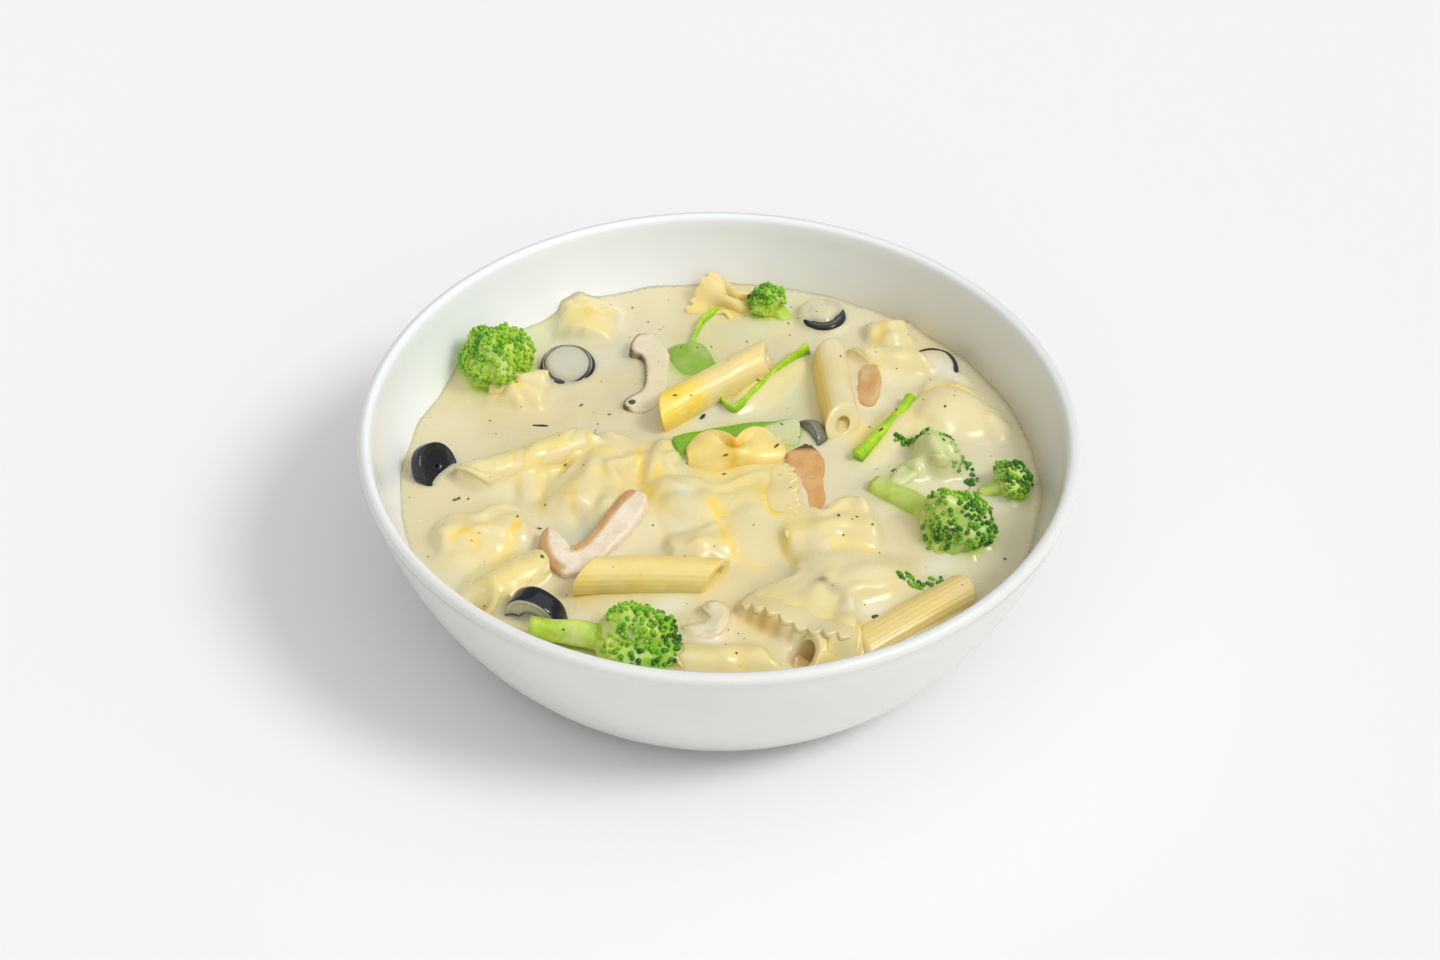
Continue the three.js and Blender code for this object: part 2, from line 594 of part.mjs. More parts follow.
for (const [kind, names] of layers) {
  for (const name of names.filter((each) => !food.getObjectByName(each))) {
    const piece = allPieces[name]
    const mesh = makeMesh(name, new THREE.BufferGeometry(), { color: COLOURS[kind], ...materialFinish[kind] })
    setPlace(mesh, piece)
    const placed = makers[kind](piece, 0).transform(mesh.matrix.elements)
    const grown = makers[kind](piece, CUT_GAP).transform(mesh.matrix.elements)
    let solid = placed
    for (const other of cutters) solid = solid.subtract(other)
    if (solid.subtract(cavity).volume() > 0) solid = solid.intersect(cavity)
    const local = largestBody(solid).transform(mesh.matrix.clone().invert().elements)
    mesh.geometry = toGeometry(local)
    cutters.push(grown.add(placed))
    food.add(mesh)
  }
}

let sauceSolid = toSolid(sauceGeometry())
for (const cutter of cutters) sauceSolid = sauceSolid.subtract(cutter)

const bowl = makeMesh('bowl', bowlGeometry(), { color: COLOURS.bowl, roughness: 0.22, metalness: 0 })
const sauce = makeMesh('sauce', toGeometry(largestBody(sauceSolid)), {
  color: COLOURS.sauce, roughness: 0.35, metalness: 0,
})

const group = new THREE.Group()
group.add(bowl, sauce, food)

export default group
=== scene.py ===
"""A white bowl of penne and farfalle in white sauce, with broccoli, olive rings, mushrooms and green pepper.

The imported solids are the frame. Each piece here is modelled in millimetres, set in its place, stored in
metres, and stands for the solid of the same name. The sauce is poured last: its surface is worked out
from the heights of the pieces that lie in it, so it climbs and thinly covers them.
"""
import math
import random

import bmesh
import bpy
import numpy as np
from bpy.props import FloatProperty, FloatVectorProperty, IntProperty, PointerProperty
from mathutils import Euler, Matrix, Vector, noise
from mathutils.bvhtree import BVHTree


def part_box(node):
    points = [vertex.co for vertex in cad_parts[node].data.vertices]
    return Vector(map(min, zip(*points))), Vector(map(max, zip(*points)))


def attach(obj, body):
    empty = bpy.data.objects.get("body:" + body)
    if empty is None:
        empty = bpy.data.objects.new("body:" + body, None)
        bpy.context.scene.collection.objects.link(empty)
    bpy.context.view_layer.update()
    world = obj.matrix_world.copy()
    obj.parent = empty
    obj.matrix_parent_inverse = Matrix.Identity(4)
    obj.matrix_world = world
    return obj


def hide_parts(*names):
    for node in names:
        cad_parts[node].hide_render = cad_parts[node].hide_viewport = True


bl_info = {
    "name": "Bowl of Pasta in White Sauce",
    "version": (1, 0, 0),
    "blender": (4, 5, 0),
    "location": "View3D > Sidebar > Pasta Bowl",
    "description": "Models a bowl of penne and farfalle in white sauce round its packed solids",
    "category": "Object",
}

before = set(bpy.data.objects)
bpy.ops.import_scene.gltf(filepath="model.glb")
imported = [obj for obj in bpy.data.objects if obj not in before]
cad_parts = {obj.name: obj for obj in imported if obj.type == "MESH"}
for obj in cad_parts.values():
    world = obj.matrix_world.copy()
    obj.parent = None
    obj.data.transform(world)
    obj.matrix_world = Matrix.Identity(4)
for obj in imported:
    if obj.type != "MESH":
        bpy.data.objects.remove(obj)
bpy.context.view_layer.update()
MM = 0.001


def tone(red, green, blue):
    """A screen colour of 0 to 255 as the linear values that shaders take."""
    return tuple(
        (c / 255) / 12.92 if c <= 10 else ((c / 255 + 0.055) / 1.055) ** 2.4 for c in (red, green, blue)
    )


# Places are in millimetres and degrees: turn swings a piece round Z, tip raises its +X end and roll
# spins it about its own X. Of the sauce, coat is how much of its colour lies on a piece, patch how
# uneven that is, climb how far it rises round the piece, skin how thick it lies on top and bare where,
# along the piece's own X, both stop and on which side. They stop over the length fade, and least of the
# coat stays. Crease is where a band of painted shade with thinner sauce crosses the piece, along a fold
# or over it all, and how wide it is, and shade the way that a side with painted shade faces.

# Of penne, ridges is how high the ribs stand, choke how much the bore narrows at the ends, cup how deep
# it is open and ends how much sauce lies on the cut ends.
PENNE = {
    "penne_top": dict(
        at=(-1.6, 32.6, 46.4), turn=39, tip=2, roll=-110, length=38, choke=0.3, coat=0.7, bare=(-7, -1),
        climb=1.6, fade=7, patch=0.05, ends=0.9, cup=2,
    ),
    "penne_upright": dict(
        at=(32.2, 33, 44.4), turn=-84, tip=3, roll=135, length=32, choke=0.5, coat=0.85, climb=2.2,
        patch=0.08, ends=0.6, cup=1.6, shade=(-1, -0.1),
    ),
    "penne_front": dict(
        at=(-17.4, -43.8, 44.4), turn=3, tip=-2, roll=-75, length=35, ridges=0.03, coat=0.62, climb=1,
        patch=0.1, ends=0.5,
    ),
    "penne_left": dict(
        at=(-51, 3.4, 42), turn=25, tip=4, roll=120, length=36, coat=0.95, skin=0.5, climb=3.4, patch=0.08,
        ends=0.9,
    ),
    "penne_rim": dict(
        at=(49, -56.2, 39.8), turn=37, tip=3, roll=10, length=36, ridges=0.06, coat=0.8, climb=3.2,
        crease=(0, 40), patch=0.06,
    ),
    "penne_low": dict(
        at=(2, -71, 38.6), turn=3, tip=-2, roll=120, length=26, coat=0.7, skin=0.7, climb=3,
    ),
    "penne_tucked": dict(
        at=(28, -66.7, 40.8), turn=22, length=12, choke=0.05, coat=0.6, skin=0.15, climb=1.6, patch=0.05,
        ends=0.8,
    ),
    "penne_lower_left": dict(
        at=(-55.1, -44.1, 40), turn=40, length=18, coat=0.9, skin=0.3, climb=2,
    ),
    "penne_back_right": dict(
        at=(48.6, 49, 41), turn=3, roll=100, length=18, coat=0.75, skin=0.9, climb=4,
    ),
}

# Pinch is the half width in the middle, lobed how round the wings are, straight how straight the -Y
# edge runs and round how much the corners lose. Pleat, ruffle and arch bend the sheet in the middle,
# along the ends and across, and curl lifts each end. Bank is how high sauce swells round the piece, and
# from where along its X.
FARFALLE = {
    "farfalle_heart": dict(
        at=(5, 2.4, 46.6), turn=9, roll=24, half_length=13.6, half_width=9.2, pinch=0.42, lobed=0.9,
        round=0.1, tooth=0.3, bank=(1, -20), curl=(-3, -3), ruffle=1, phase=0.5, arch=-2, straight=0.8,
        coat=0.4, climb=1.6, crease=(-1.2, 1.5), patch=0.08,
    ),
    "farfalle_fan": dict(
        at=(0.5, -15.2, 45), turn=2, tip=3, roll=15, half_length=21.5, half_width=11.6, teeth=6, tooth=2.8,
        bank=(2, -30), curl=(-3, 1.6), ruffle=0.8, phase=1.6, arch=-1.5, coat=0.8, climb=1.8,
        crease=(13, 1.2), patch=0.06, pleat=0.6, skin=0.1, bare=(14, 1), fade=3, least=0.8,
    ),
    "farfalle_front": dict(
        at=(28.4, -46.2, 43.6), turn=61, tip=-4, roll=-4, half_length=19.5, half_width=17, teeth=8, tooth=1.9,
        bank=(3.4, -9), curl=(0.6, -2), ruffle=0.9, phase=0.2, arch=-1, coat=0.97, climb=2.4, patch=0.03,
        skin=0.4, bare=(-12.5, -1), fade=3, least=0.95,
    ),
    "farfalle_curl": dict(
        at=(29.6, -25.4, 45.6), turn=14, tip=2, roll=14, half_length=12.4, half_width=9.5, lobed=0.6,
        bank=(2, -30), curl=(-1, 0.5), ruffle=1.2, phase=2.4, arch=-2, skin=0.25, coat=0.6, climb=2.8,
    ),
    "farfalle_middle": dict(
        at=(-34, -1.5, 44), turn=76, tip=-3, roll=-10, half_length=15.5, half_width=11, lobed=0.4,
        bank=(2, -30), curl=(-1.5, -1), ruffle=1.4, phase=0.9, arch=-2.5, skin=0.7, coat=0.7, climb=4,
    ),
    "farfalle_crescent": dict(
        at=(-17, 3.2, 42.6), turn=80, tip=4, roll=-14, half_length=8.5, half_width=7, curl=(-1, -1),
        ruffle=1.2, phase=2, arch=-1, skin=0.6, coat=0.7, climb=3.2,
    ),
    "farfalle_small": dict(
        at=(-4.4, -31.2, 42.8), turn=20, tip=3, roll=10, half_length=8, half_width=6.5, curl=(-0.5, -0.5),
        ruffle=1, phase=1.2, arch=-1, skin=0.8, coat=0.7, climb=3.2,
    ),
    "farfalle_back_left": dict(
        at=(-38.6, 68.2, 44.2), turn=84, tip=-8, roll=4, half_length=8.5, half_width=8.2, pinch=0.75,
        curl=(-2, -2), ruffle=0.1, phase=0.3, arch=-4, coat=0.5, climb=3, skin=0.15, pleat=0.4,
    ),
    "farfalle_back": dict(
        at=(2.6, 74, 43), turn=-26, tip=-4, roll=22, half_length=12, half_width=8.6, tooth=1.6,
        curl=(0, -2.5), ruffle=0.9, phase=0.4, arch=-1.6, coat=0.55, climb=2.4, patch=0.08,
    ),
    "farfalle_left": dict(
        at=(-57.4, 32.4, 44.2), turn=-12, roll=24, half_length=7.8, half_width=7.5, tooth=0.4,
        curl=(-1.5, -1.5), ruffle=1.2, phase=2, arch=-1.5, skin=0.4, coat=0.7, climb=3,
    ),
    "farfalle_back_right": dict(
        at=(48.6, 58.6, 42.6), turn=8, roll=30, half_length=6, half_width=6.8, pinch=0.7, curl=(-1.5, -1.5),
        ruffle=0.6, phase=0.8, arch=-2.5, skin=0.7, coat=0.66, climb=3,
    ),
    "farfalle_right": dict(
        at=(60.2, 25.4, 43), turn=47, tip=1, roll=8, half_length=15.5, half_width=11.5, teeth=6,
        bank=(2.5, -30), curl=(-1.6, -2.5), ruffle=0.9, phase=0.6, arch=-2.5, skin=0.7, coat=0.8, climb=4,
    ),
    "farfalle_lower_left": dict(
        at=(-62.4, -26.8, 42.6), turn=18, roll=14, half_length=11.5, half_width=9.5, lobed=0.5, bank=(2, -30),
        curl=(-1.5, -1.5), ruffle=1.2, phase=1.4, arch=-2, skin=0.8, coat=0.75, climb=3.6,
    ),
    "farfalle_edge": dict(
        at=(75.2, 24.6, 40.8), turn=82, roll=6, half_length=5, half_width=4, curl=(-0.6, -0.6), ruffle=0.6,
        phase=0.9, arch=-0.8, skin=0.9, coat=0.7, climb=2.6,
    ),
}

# A floret is a stem along +X that ends in a crown of buds, squashed along the stem. Buds grow darker
# towards dark, paler by lime, and none grow towards bald.
BROCCOLI = {
    "broccoli_left": dict(
        at=(-63.8, 42, 45), turn=120, tip=62, crown=10.6, squash=1.05, stem=6, stem_radius=3.8, lime=0.3,
        coat=0.15, climb=2.5,
    ),
    "broccoli_back": dict(
        at=(13.4, 72.2, 45.2), turn=150, tip=42, roll=20, crown=5.9, squash=0.9, stem=8, stem_radius=2.4,
        lime=0.2, coat=0.12, climb=2,
    ),
    "broccoli_right": dict(
        at=(62.6, -20.8, 43.8), turn=-39, tip=4, roll=30, crown=10.2, squash=1.15, stem=20, stem_radius=3.2,
        coat=0.3, climb=2.6,
    ),
    "broccoli_far_right": dict(
        at=(79.8, -3.2, 43), turn=12, tip=24, crown=6.4, squash=0.85, stem=5, stem_radius=2.4,
        dark=(0.7, 0.2, 0.2), coat=0.3, climb=2,
    ),
    "broccoli_front": dict(
        at=(-21.4, -67.4, 43.2), turn=-5, tip=-5, roll=10, crown=10.4, squash=1.25, stem=20.5,
        stem_radius=2.8, dark=(0.8, -0.3, 0.1), lime=0.1, coat=0.15, climb=2,
    ),
    "broccoli_middle": dict(
        at=(59.2, 6.6, 42.6), turn=42, tip=8, roll=60, crown=8.6, squash=0.8, stem=12, stem_radius=3.2,
        dark=(0.3, -0.6, 0.2), bald=(-0.5, -0.5, 0.6), coat=0.8, climb=4, skin=0.7, bare=(-9, -1),
    ),
}

# Face is how much sauce lies on the cut faces of a ring but for a bare rim, dish how far they are
# hollowed, and plug and fill how wide and how high the sauce fills the ring.
OLIVES = {
    "olive_ring": dict(
        at=(-43.8, 45.2, 41.2), turn=0, tip=0, roll=10, radius=7.9, face=1, coat=0, climb=0.7, rim=0.8,
        dish=-0.04, hole=0.1, plug=6.85, fill=2.1, patch=0.04,
    ),
    "olive_left": dict(
        at=(-78.2, 1.4, 41.2), turn=-24, tip=-52, roll=8, radius=6.9, coat=0.04, climb=1.5, hole=0.3,
        patch=0.06,
    ),
    "olive_back": dict(
        at=(29.3, 69.8, 41.6), turn=-68, tip=0, roll=0, radius=6.9, skin=0.6, plug=3.6, bare=(0.6, 1),
        coat=0.05, climb=1.6, rim=1, face=0.6, patch=0.04,
    ),
    "olive_right": dict(
        at=(60.6, 48.4, 39.6), turn=-28, tip=0, roll=16, radius=7.6, coat=0, climb=0.9, face=0.97, rim=1.5,
        dish=0, plug=6.2, fill=2.4, patch=0.04,
    ),
    "olive_front": dict(
        at=(-46.8, -56.2, 40.6), turn=-24, tip=0, roll=92, radius=8.2, thickness=6.4, face=0.8, coat=0,
        climb=1.6, rim=0.4, plug=3.4, patch=0.04,
    ),
    "olive_shard": dict(
        at=(24.6, 15.2, 40.8), turn=-55, tip=0, roll=62, radius=6.2, face=0.5, coat=0.3, climb=2, patch=0.04,
    ),
}

# Outlines of the mushroom slices, as [x, y] round the edge
CAP_OUTLINE = ((-6, -9), (-2, -11), (4, -9), (6, -2), (5, 6), (0, 10), (-5, 9), (-6, 5), (-2, 3), (-1, -4))
FORK_OUTLINE = (
    (-14, 3), (-13, -5), (-8, -11), (-1, -10), (5, -4), (13, 5), (17, 13), (13, 17), (7, 12), (0, 3),
    (-5, -1), (-8, 4), (-11, 7),
)
STALK_OUTLINE = ((-4, -12), (1, -13), (5, -9), (5, 0), (5.5, 8), (1, 13), (-4.5, 9), (-5, 0))
SEED_OUTLINE = ((-3.2, -8), (0, -9.4), (3.2, -7.6), (4.2, 0), (3, 7), (0, 8.6), (-3, 7), (-4, 0))
HOOK_OUTLINE = ((-7, -6), (-2, -8), (4, -6), (6, 1), (3, 7), (-3, 7), (-6, 3), (-1, 1), (-2, -2))

# Brown is the colour of the whole slice, from flesh at 0 to skin at 1. Rim is how wide its skin shows
# and side where, along its own X, that ends. Dark turns the skin black-brown, and past cap the flesh.
MUSHROOMS = {
    "mushroom_brown": dict(
        at=(-20.8, 40.8, 42.6), turn=-3, tip=-6, roll=4, outline=CAP_OUTLINE, stretch=(1, 1.55),
        thickness=4.4, brown=0.15, rim=0.9, dark=1, coat=0.95, climb=2, side=(-1, 0.15),
    ),
    "mushroom_fork": dict(
        at=(-33.6, -31.4, 43.4), turn=8, tip=4, roll=6, outline=FORK_OUTLINE, stretch=(0.98, 0.97),
        thickness=4.2, brown=0.16, coat=0.2, climb=2.4, rim=2.6, side=(-0.85, 0.5), dark=0.18,
    ),
    "mushroom_tan": dict(
        at=(23.4, -4.6, 42), turn=2, roll=8, outline=STALK_OUTLINE, stretch=(1, 1), thickness=6, brown=1,
        rim=0.5, cap=9.8, coat=0.12, climb=3,
    ),
    "mushroom_small": dict(
        at=(42.2, 37.2, 42.4), turn=-6, tip=12, roll=4, outline=SEED_OUTLINE, stretch=(0.8, 0.95),
        thickness=5, brown=1, rim=0.5, coat=0.3, climb=2.6, patch=0.3,
    ),
    "mushroom_front": dict(
        at=(-1.4, -58.4, 41), turn=-30, roll=10, outline=HOOK_OUTLINE, stretch=(0.8, 0.85), thickness=5,
        brown=0.3, coat=0.6, climb=3, skin=0.25, rim=0.8, side=(-0.3, 1),
    ),
}

# Pepper strips stand on edge along a bent line of [x, y] points, and lean sideways
PEPPER_STRIPS = {
    "pepper_bent": dict(
        at=(13.5, 36, 42), path=((12.2, 16.6), (4.6, 7), (-2.4, -3.4), (-8.8, -12), (-12.8, -7.2)), width=1,
        height=9, lean=-0.25, coat=0.05, climb=3,
    ),
    "pepper_right": dict(
        at=(46, 15.8, 41.8), path=((8.4, 15.6), (5.6, 9.4), (-0.2, 0.6), (-7.6, -10.4)), width=2.6, height=8,
        lean=-0.3, coat=0, climb=2,
    ),
    "pepper_back": dict(
        at=(-5.1, 61.5, 40.9), path=((4, 10.8), (-0.5, 5), (-2.6, -2), (-3.9, -10.4)), width=1.1, height=6,
        lean=0, coat=0.05, climb=1.8,
    ),
}

# Flat pepper pieces are wavy sheets: half sizes across, and a sag along each way. Taper makes one side
# longer, and clear is a line past which no sauce lies: a point's x and y, and the slope.
PEPPER_SHEETS = {
    "pepper_flat": dict(
        at=(5.6, 9, 44.6), turn=13, tip=1, roll=18, half_length=17.2, half_width=6.6, sag_long=-0.5,
        sag_across=-0.8, thickness=2, coat=0.75, climb=2.4, taper=2.6, clear=(-1, 2.4, 0.24), patch=0.06,
    ),
    "pepper_flap": dict(
        at=(-11.8, 5, 42), turn=70, tip=20, roll=-30, half_length=6.4, half_width=3, sag_long=-1,
        sag_across=-0.6, thickness=2, coat=0.1, climb=2.4,
    ),
    "pepper_leaf": dict(
        at=(-8.8, 44.6, 43.6), turn=20, tip=4, roll=14, half_length=6.8, half_width=8.8, sag_long=-2.4,
        sag_across=-2, thickness=2.4, coat=0.3, climb=2, patch=0.4,
    ),
}

# Pasta that swells under the sauce, as [x, y, half length, half width, turn, height]
LUMPS = (
    (-52, -5, 4, 6, 10, 1.5), (-43.5, -15, 3.5, 7, 80, 2), (-32, -4, 7, 11, 60, 2),
    (-31, -20, 5.5, 4.5, 10, 1.5), (-18.5, 2, 2, 6, 80, 1.5), (-14, -9, 3, 9, 75, 2),
    (-7.5, -17, 5, 9, 70, 2), (-3.5, -28.5, 5.5, 5, 5, 2), (10.5, -25, 9, 9, 0, 1.5), (25, -29, 4, 7, 60, 2),
    (19.5, -28, 2.5, 8, 80, 1.5), (-60.5, -29, 6.5, 9, 0, 2), (-69, -36, 3.5, 8, 70, 1.5),
    (-57, -43, 13, 8.5, 38, 2.4), (68, 44, 3.5, 3, 0, 1), (-64.5, -52, 5, 4, -35, 1),
    (65.5, 26.5, 12, 9.5, -20, 3), (78, 21.5, 4, 5, 0, 2), (49.5, 59, 5, 5, 0, 2), (50, 45, 8, 5.5, -10, 1.2),
    (-56.5, 32.5, 6, 5, 0, 1), (8, -60, 7, 5, 10, 1), (39, -46, 10, 7, 30, 1.2), (13.5, 37, 17, 5, 52, 2.5),
    (46, 16, 14, 5, 62, 1.5),
)

# Folds of the pasta seen through the sauce, partly as painted shade: points along the fold, width, depth and
# colour
FOLDS = (
    (((-55, 2.5), (-55.5, -3), (-55.5, -10.5)), 1.3, 0.5, 0.4),
    (((-47.5, -2), (-48, -8), (-48, -15)), 1.4, 0.9, 0.8),
    (((-40, -10), (-40, -15), (-38, -20.5)), 1.3, 0.6, 0.5),
    (((-39, 7.5), (-37.5, 11)), 1.6, 1.2, 0.9),
    (((-43.5, 0), (-42, 3)), 1.6, 1.2, 0.9),
    (((-21.5, 7), (-22, 1), (-21.5, -4), (-19.5, -8.5)), 1.2, 0.8, 1),
    (((-17, -1), (-17.5, -7), (-19, -12)), 1.2, 0.6, 0.6),
    (((-18, -17.5), (-16, -23), (-13.5, -28.5)), 1.2, 0.7, 0.7),
    (((-2, -17), (0.5, -21), (2.5, -28), (6, -34), (12, -36)), 1.8, 0.3, 0.9),
    (((13.5, -13.5), (15, -20)), 1.9, 0.4, 0.8),
    (((17.5, -28.5), (18, -32.5), (20.5, -36.5)), 1, 1, 1.2),
    (((30.5, -32.5), (35.5, -33), (41, -32)), 1.3, 0.5, 0.7),
    (((-70.5, -30), (-67.5, -28), (-64, -31.5)), 1.4, 0.6, 0.7),
    (((-54, -23.5), (-56, -32), (-59, -37.5)), 1.4, 0.6, 0.8),
    (((-59, 36), (-56.5, 30)), 1, 1, 0.6),
    (((58, 33), (63, 37), (69, 35)), 1.8, 0.5, 0.6),
    (((37.5, 12), (40.5, 19)), 2.4, 0.2, 0.9),
    (((44, 55), (46.5, 62)), 1.8, 0.4, 0.7),
)

# Hollows in the sauce where a penne opens, as [x, y, half length, half width, turn, depth]
PITS = ((23.4, -68.4, 5, 3.6, 22, 5), (-62.4, -52.2, 4.2, 2.4, -32, 4))

# Tints of the sauce: what lies in and under it, dark spots, and painted shade and highlight, as
# [x, y, half length, half width, turn, strength, tint]
TINTS = {
    # Among the tints, shade is painted shadow, the amber tint painted shadow by the front farfalla's
    # scalloped edge, and brown painted shade inside pits and penne openings
    "milk": tone(229, 229, 216), "shade": tone(200, 203, 190), "dark": tone(112, 102, 92),
    "amber_shadow": tone(204, 156, 70), "yellow": tone(242, 216, 100), "brown": tone(142, 94, 22),
    "mint": tone(204, 222, 180), "orange": tone(206, 136, 28),
}
STAINS = (
    (58.5, -34.5, 6, 4, 20, 0.5, "milk"), (79, -9, 7, 3, 30, 0.5, "milk"), (-36, -56, 4, 3, 0, 0.5, "milk"),
    (-12, -51, 6, 3.5, 0, 0.5, "milk"), (64, 45.5, 6, 4, -30, 0.5, "milk"),
    (-2, 24, 7.5, 3, 35, 0.7, "shade"), (-36.5, -25, 5, 4, 20, 0.55, "shade"),
    (-1.5, -64, 4, 3, 0, 0.6, "milk"), (39, -53.5, 9, 3, 25, 0.5, "milk"),
    (27.5, -46.8, 1.6, 1.3, 0, 1, "dark"), (30, -49, 3, 2, -30, 0.45, "dark"),
    # Painted shadow by the scalloped edge of the front farfalla
    (12.3, -60, 8, 2, -35, 0.6, "amber_shadow"), (5.6, -52.5, 1.6, 4.5, 5, 0.45, "amber_shadow"),
    (-32, 4.5, 3.4, 1.5, 0, 0.7, "yellow"), (-32, -5.7, 2.6, 1.5, 20, 0.7, "yellow"),
    (13.4, -15, 1.8, 4, 8, 0.6, "yellow"), (4, -10, 9, 2, 8, 0.35, "yellow"),
    (-46, 2, 9, 4, 30, 0.3, "yellow"), (-14, -17, 3, 7, 20, 0.3, "yellow"),
    # The brown pit here and the brown at the penne openings below are painted shade; the milk patch at -9.3,
    # -12.5 is a painted highlight
    (-38.4, 13, 1.2, 2.6, -20, 0.6, "brown"), (-9.3, -12.5, 3.5, 2.5, 0, 0.6, "milk"),
    (-48.3, -22, 0.7, 0.7, 0, 1, "orange"), (18, 21, 8, 5, 20, 0.5, "mint"), (21, 33, 5, 8, -10, 0.4, "mint"),
    (6, 63, 9, 5, 0, 0.3, "mint"), (24, -68.4, 5, 3.6, 22, 0.9, "brown"),
    (-62.8, -52.8, 3.6, 1.8, -32, 0.95, "brown"), (-43.8, 45.2, 6.4, 6.4, 0, 0.7, "shade"),
    (-52, 62, 8, 6, 0, 0.35, "mint"), (-30, 50, 7, 6, 0, 0.25, "milk"),
)

# Slivers and long herbs that lie on the sauce, as [x, y, half length, half width, turn, brown to black]
SLIVERS = (
    (-50.2, 19.6, 2.7, 0.45, 0, 2), (-4.8, 22.6, 1.6, 0.6, 60, 2), (38.2, -11.7, 2.2, 0.3, -30, 0.9),
    (-71.6, -9.9, 0.9, 0.5, 20, 0), (-70.6, -9.4, 0.6, 0.5, 70, 0.2), (-67, 0.6, 0.9, 0.5, 60, 0.2),
    (-65.4, 1.8, 0.6, 0.4, 20, 0.1), (-24.8, 27.1, 1.3, 1, 30, 0), (41.4, -54.8, 1.2, 0.9, 10, 1),
    (2, 0.6, 1.2, 0.4, 30, 0.3), (15.6, 6, 1.4, 0.4, 55, 0.4), (48, 2, 1.1, 0.5, 35, 0.8),
    (44.6, 15, 1.2, 0.4, 55, 0.7), (-46.2, -38, 0.8, 0.5, -50, 0.6), (-42, 1.6, 1, 0.4, 60, 0.8),
)

# Loose buds of broccoli on the sauce, as [x, y, half length, half width, turn, count]
BUD_ROWS = (
    (51, -41.8, 3.6, 1.2, -24, 26), (57.4, -40.4, 2.4, 1.6, 20, 9), (52.8, 12.8, 4.6, 0.8, -22, 24),
    (62.8, 9.6, 2.4, 0.5, -4, 6), (68.6, 2.4, 1.8, 4.4, 12, 22),
)

FOOD = {**PENNE, **FARFALLE, **BROCCOLI, **OLIVES, **MUSHROOMS, **PEPPER_STRIPS, **PEPPER_SHEETS}
FINE = "_fine"

PENNE_SLANT = math.tan(math.radians(38))  # of the cut ends
PASTA_SHEET = 2.0  # thickness of a farfalla
OLIVE_RADIUS = 7.4
GOLDEN = math.pi * (3 - math.sqrt(5))  # the turn between leaves on a stem
NO_FOOD = -100.0  # height of the food where there is none
RAY_START = 0.09  # height in metres from which the food is looked for
DOWN = Vector((0, 0, -1))
SHOULDER = 3.5  # width over which the sauce slopes up to food that stands out of it
BANK_SLOPE = 2.6  # width over which a bank of sauce slopes down
SHEET_MARGIN = 0.6  # how far the sauce on a sheet of pasta reaches past its edge
WALL_POWERS = (1.415, 1.534)  # of the superellipse that the wall of the bowl follows
SAUCE_TILT = (0.009, 0.0098)  # how steeply the sauce rises along X and Y
GLOW = tone(244, 220, 108)  # sauce with pasta just under it
DULL_OLIVE = tone(104, 106, 100)  # olive under thin sauce


def metres(name, description, default):
    """A setting that is a length."""
    return FloatProperty(name=name, description=description, default=default, unit="LENGTH")


def hue(name, description, *screen_colour):
    """A setting that is a colour, given as a screen shows it."""
    return FloatVectorProperty(
        name=name, description=description, subtype="COLOR", default=tone(*screen_colour),
    )


def number(name, description, default):
    """A setting that is a plain number from 0 up."""
    return FloatProperty(name=name, description=description, default=default, min=0)


class BowlShape(bpy.types.PropertyGroup):
    """Sizes of the bowl, in metres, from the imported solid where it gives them."""

    rim_radius: metres("Rim radius", "Radius of the bowl at its widest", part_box("bowl")[1].x)
    height: metres("Height", "Height of the bowl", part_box("bowl")[1].z)
    base_radius: metres("Base radius", "Radius of the underside", 0.0602)
    floor_radius: metres("Floor radius", "Radius of the floor inside", 0.058)
    floor_height: metres("Floor height", "Height of the floor inside", 0.0065)
    inner_rim_radius: metres("Inner rim radius", "Radius inside the rim", 0.0939)
    lip_radius: metres("Lip radius", "Roundness of the lip", 0.0017)
    foot_radius: metres("Foot radius", "Outer radius of the foot ring", 0.0485)
    foot_height: metres("Foot height", "Height of the foot ring", 0.0022)
    steps: IntProperty(name="Steps round", description="Facets round the bowl", default=192, min=24)


class SaucePour(bpy.types.PropertyGroup):
    """How deep and how smooth the sauce lies."""

    edge_level: metres("Edge level", "Height of the sauce at the wall", 0.039)
    rise: metres("Rise", "How much higher the middle is", 0.0032)
    smoothing: metres("Smoothing", "Width over which the sauce rounds off", 0.0007)
    meniscus: metres("Meniscus", "Rise of the sauce at the wall", 0.0007)
    cells: IntProperty(name="Cells", description="Cells across the surface", default=292, min=50)


class FoodColours(bpy.types.PropertyGroup):
    """Colours of the sauce and the food."""

    cream: hue("Cream", "The sauce", 221, 213, 178)
    pasta: hue("Pasta", "Pasta in the light", 246, 212, 76)
    # Painted shade: the colour pasta takes in hollows, creases and on shaded sides
    pasta_shaded: hue("Pasta in folds", "Pasta where it folds", 232, 190, 80)
    bud: hue("Buds", "Broccoli buds", 30, 92, 24)
    flesh: hue("Stems", "Broccoli stems", 172, 204, 44)
    olive: hue("Olive", "Olive skin", 20, 23, 30)
    mushroom: hue("Mushroom", "Mushroom flesh", 236, 220, 194)
    gill: hue("Mushroom edge", "Skin and gills", 206, 152, 86)
    pepper: hue("Pepper", "Cut edge of the pepper", 152, 200, 24)
    pepper_skin: hue("Pepper skin", "Skin of the pepper", 112, 164, 14)
    # The glaze inside the bowl; the outside takes a darker white, as painted shade
    glaze: hue("Glaze", "Glaze of the bowl", 240, 243, 245)


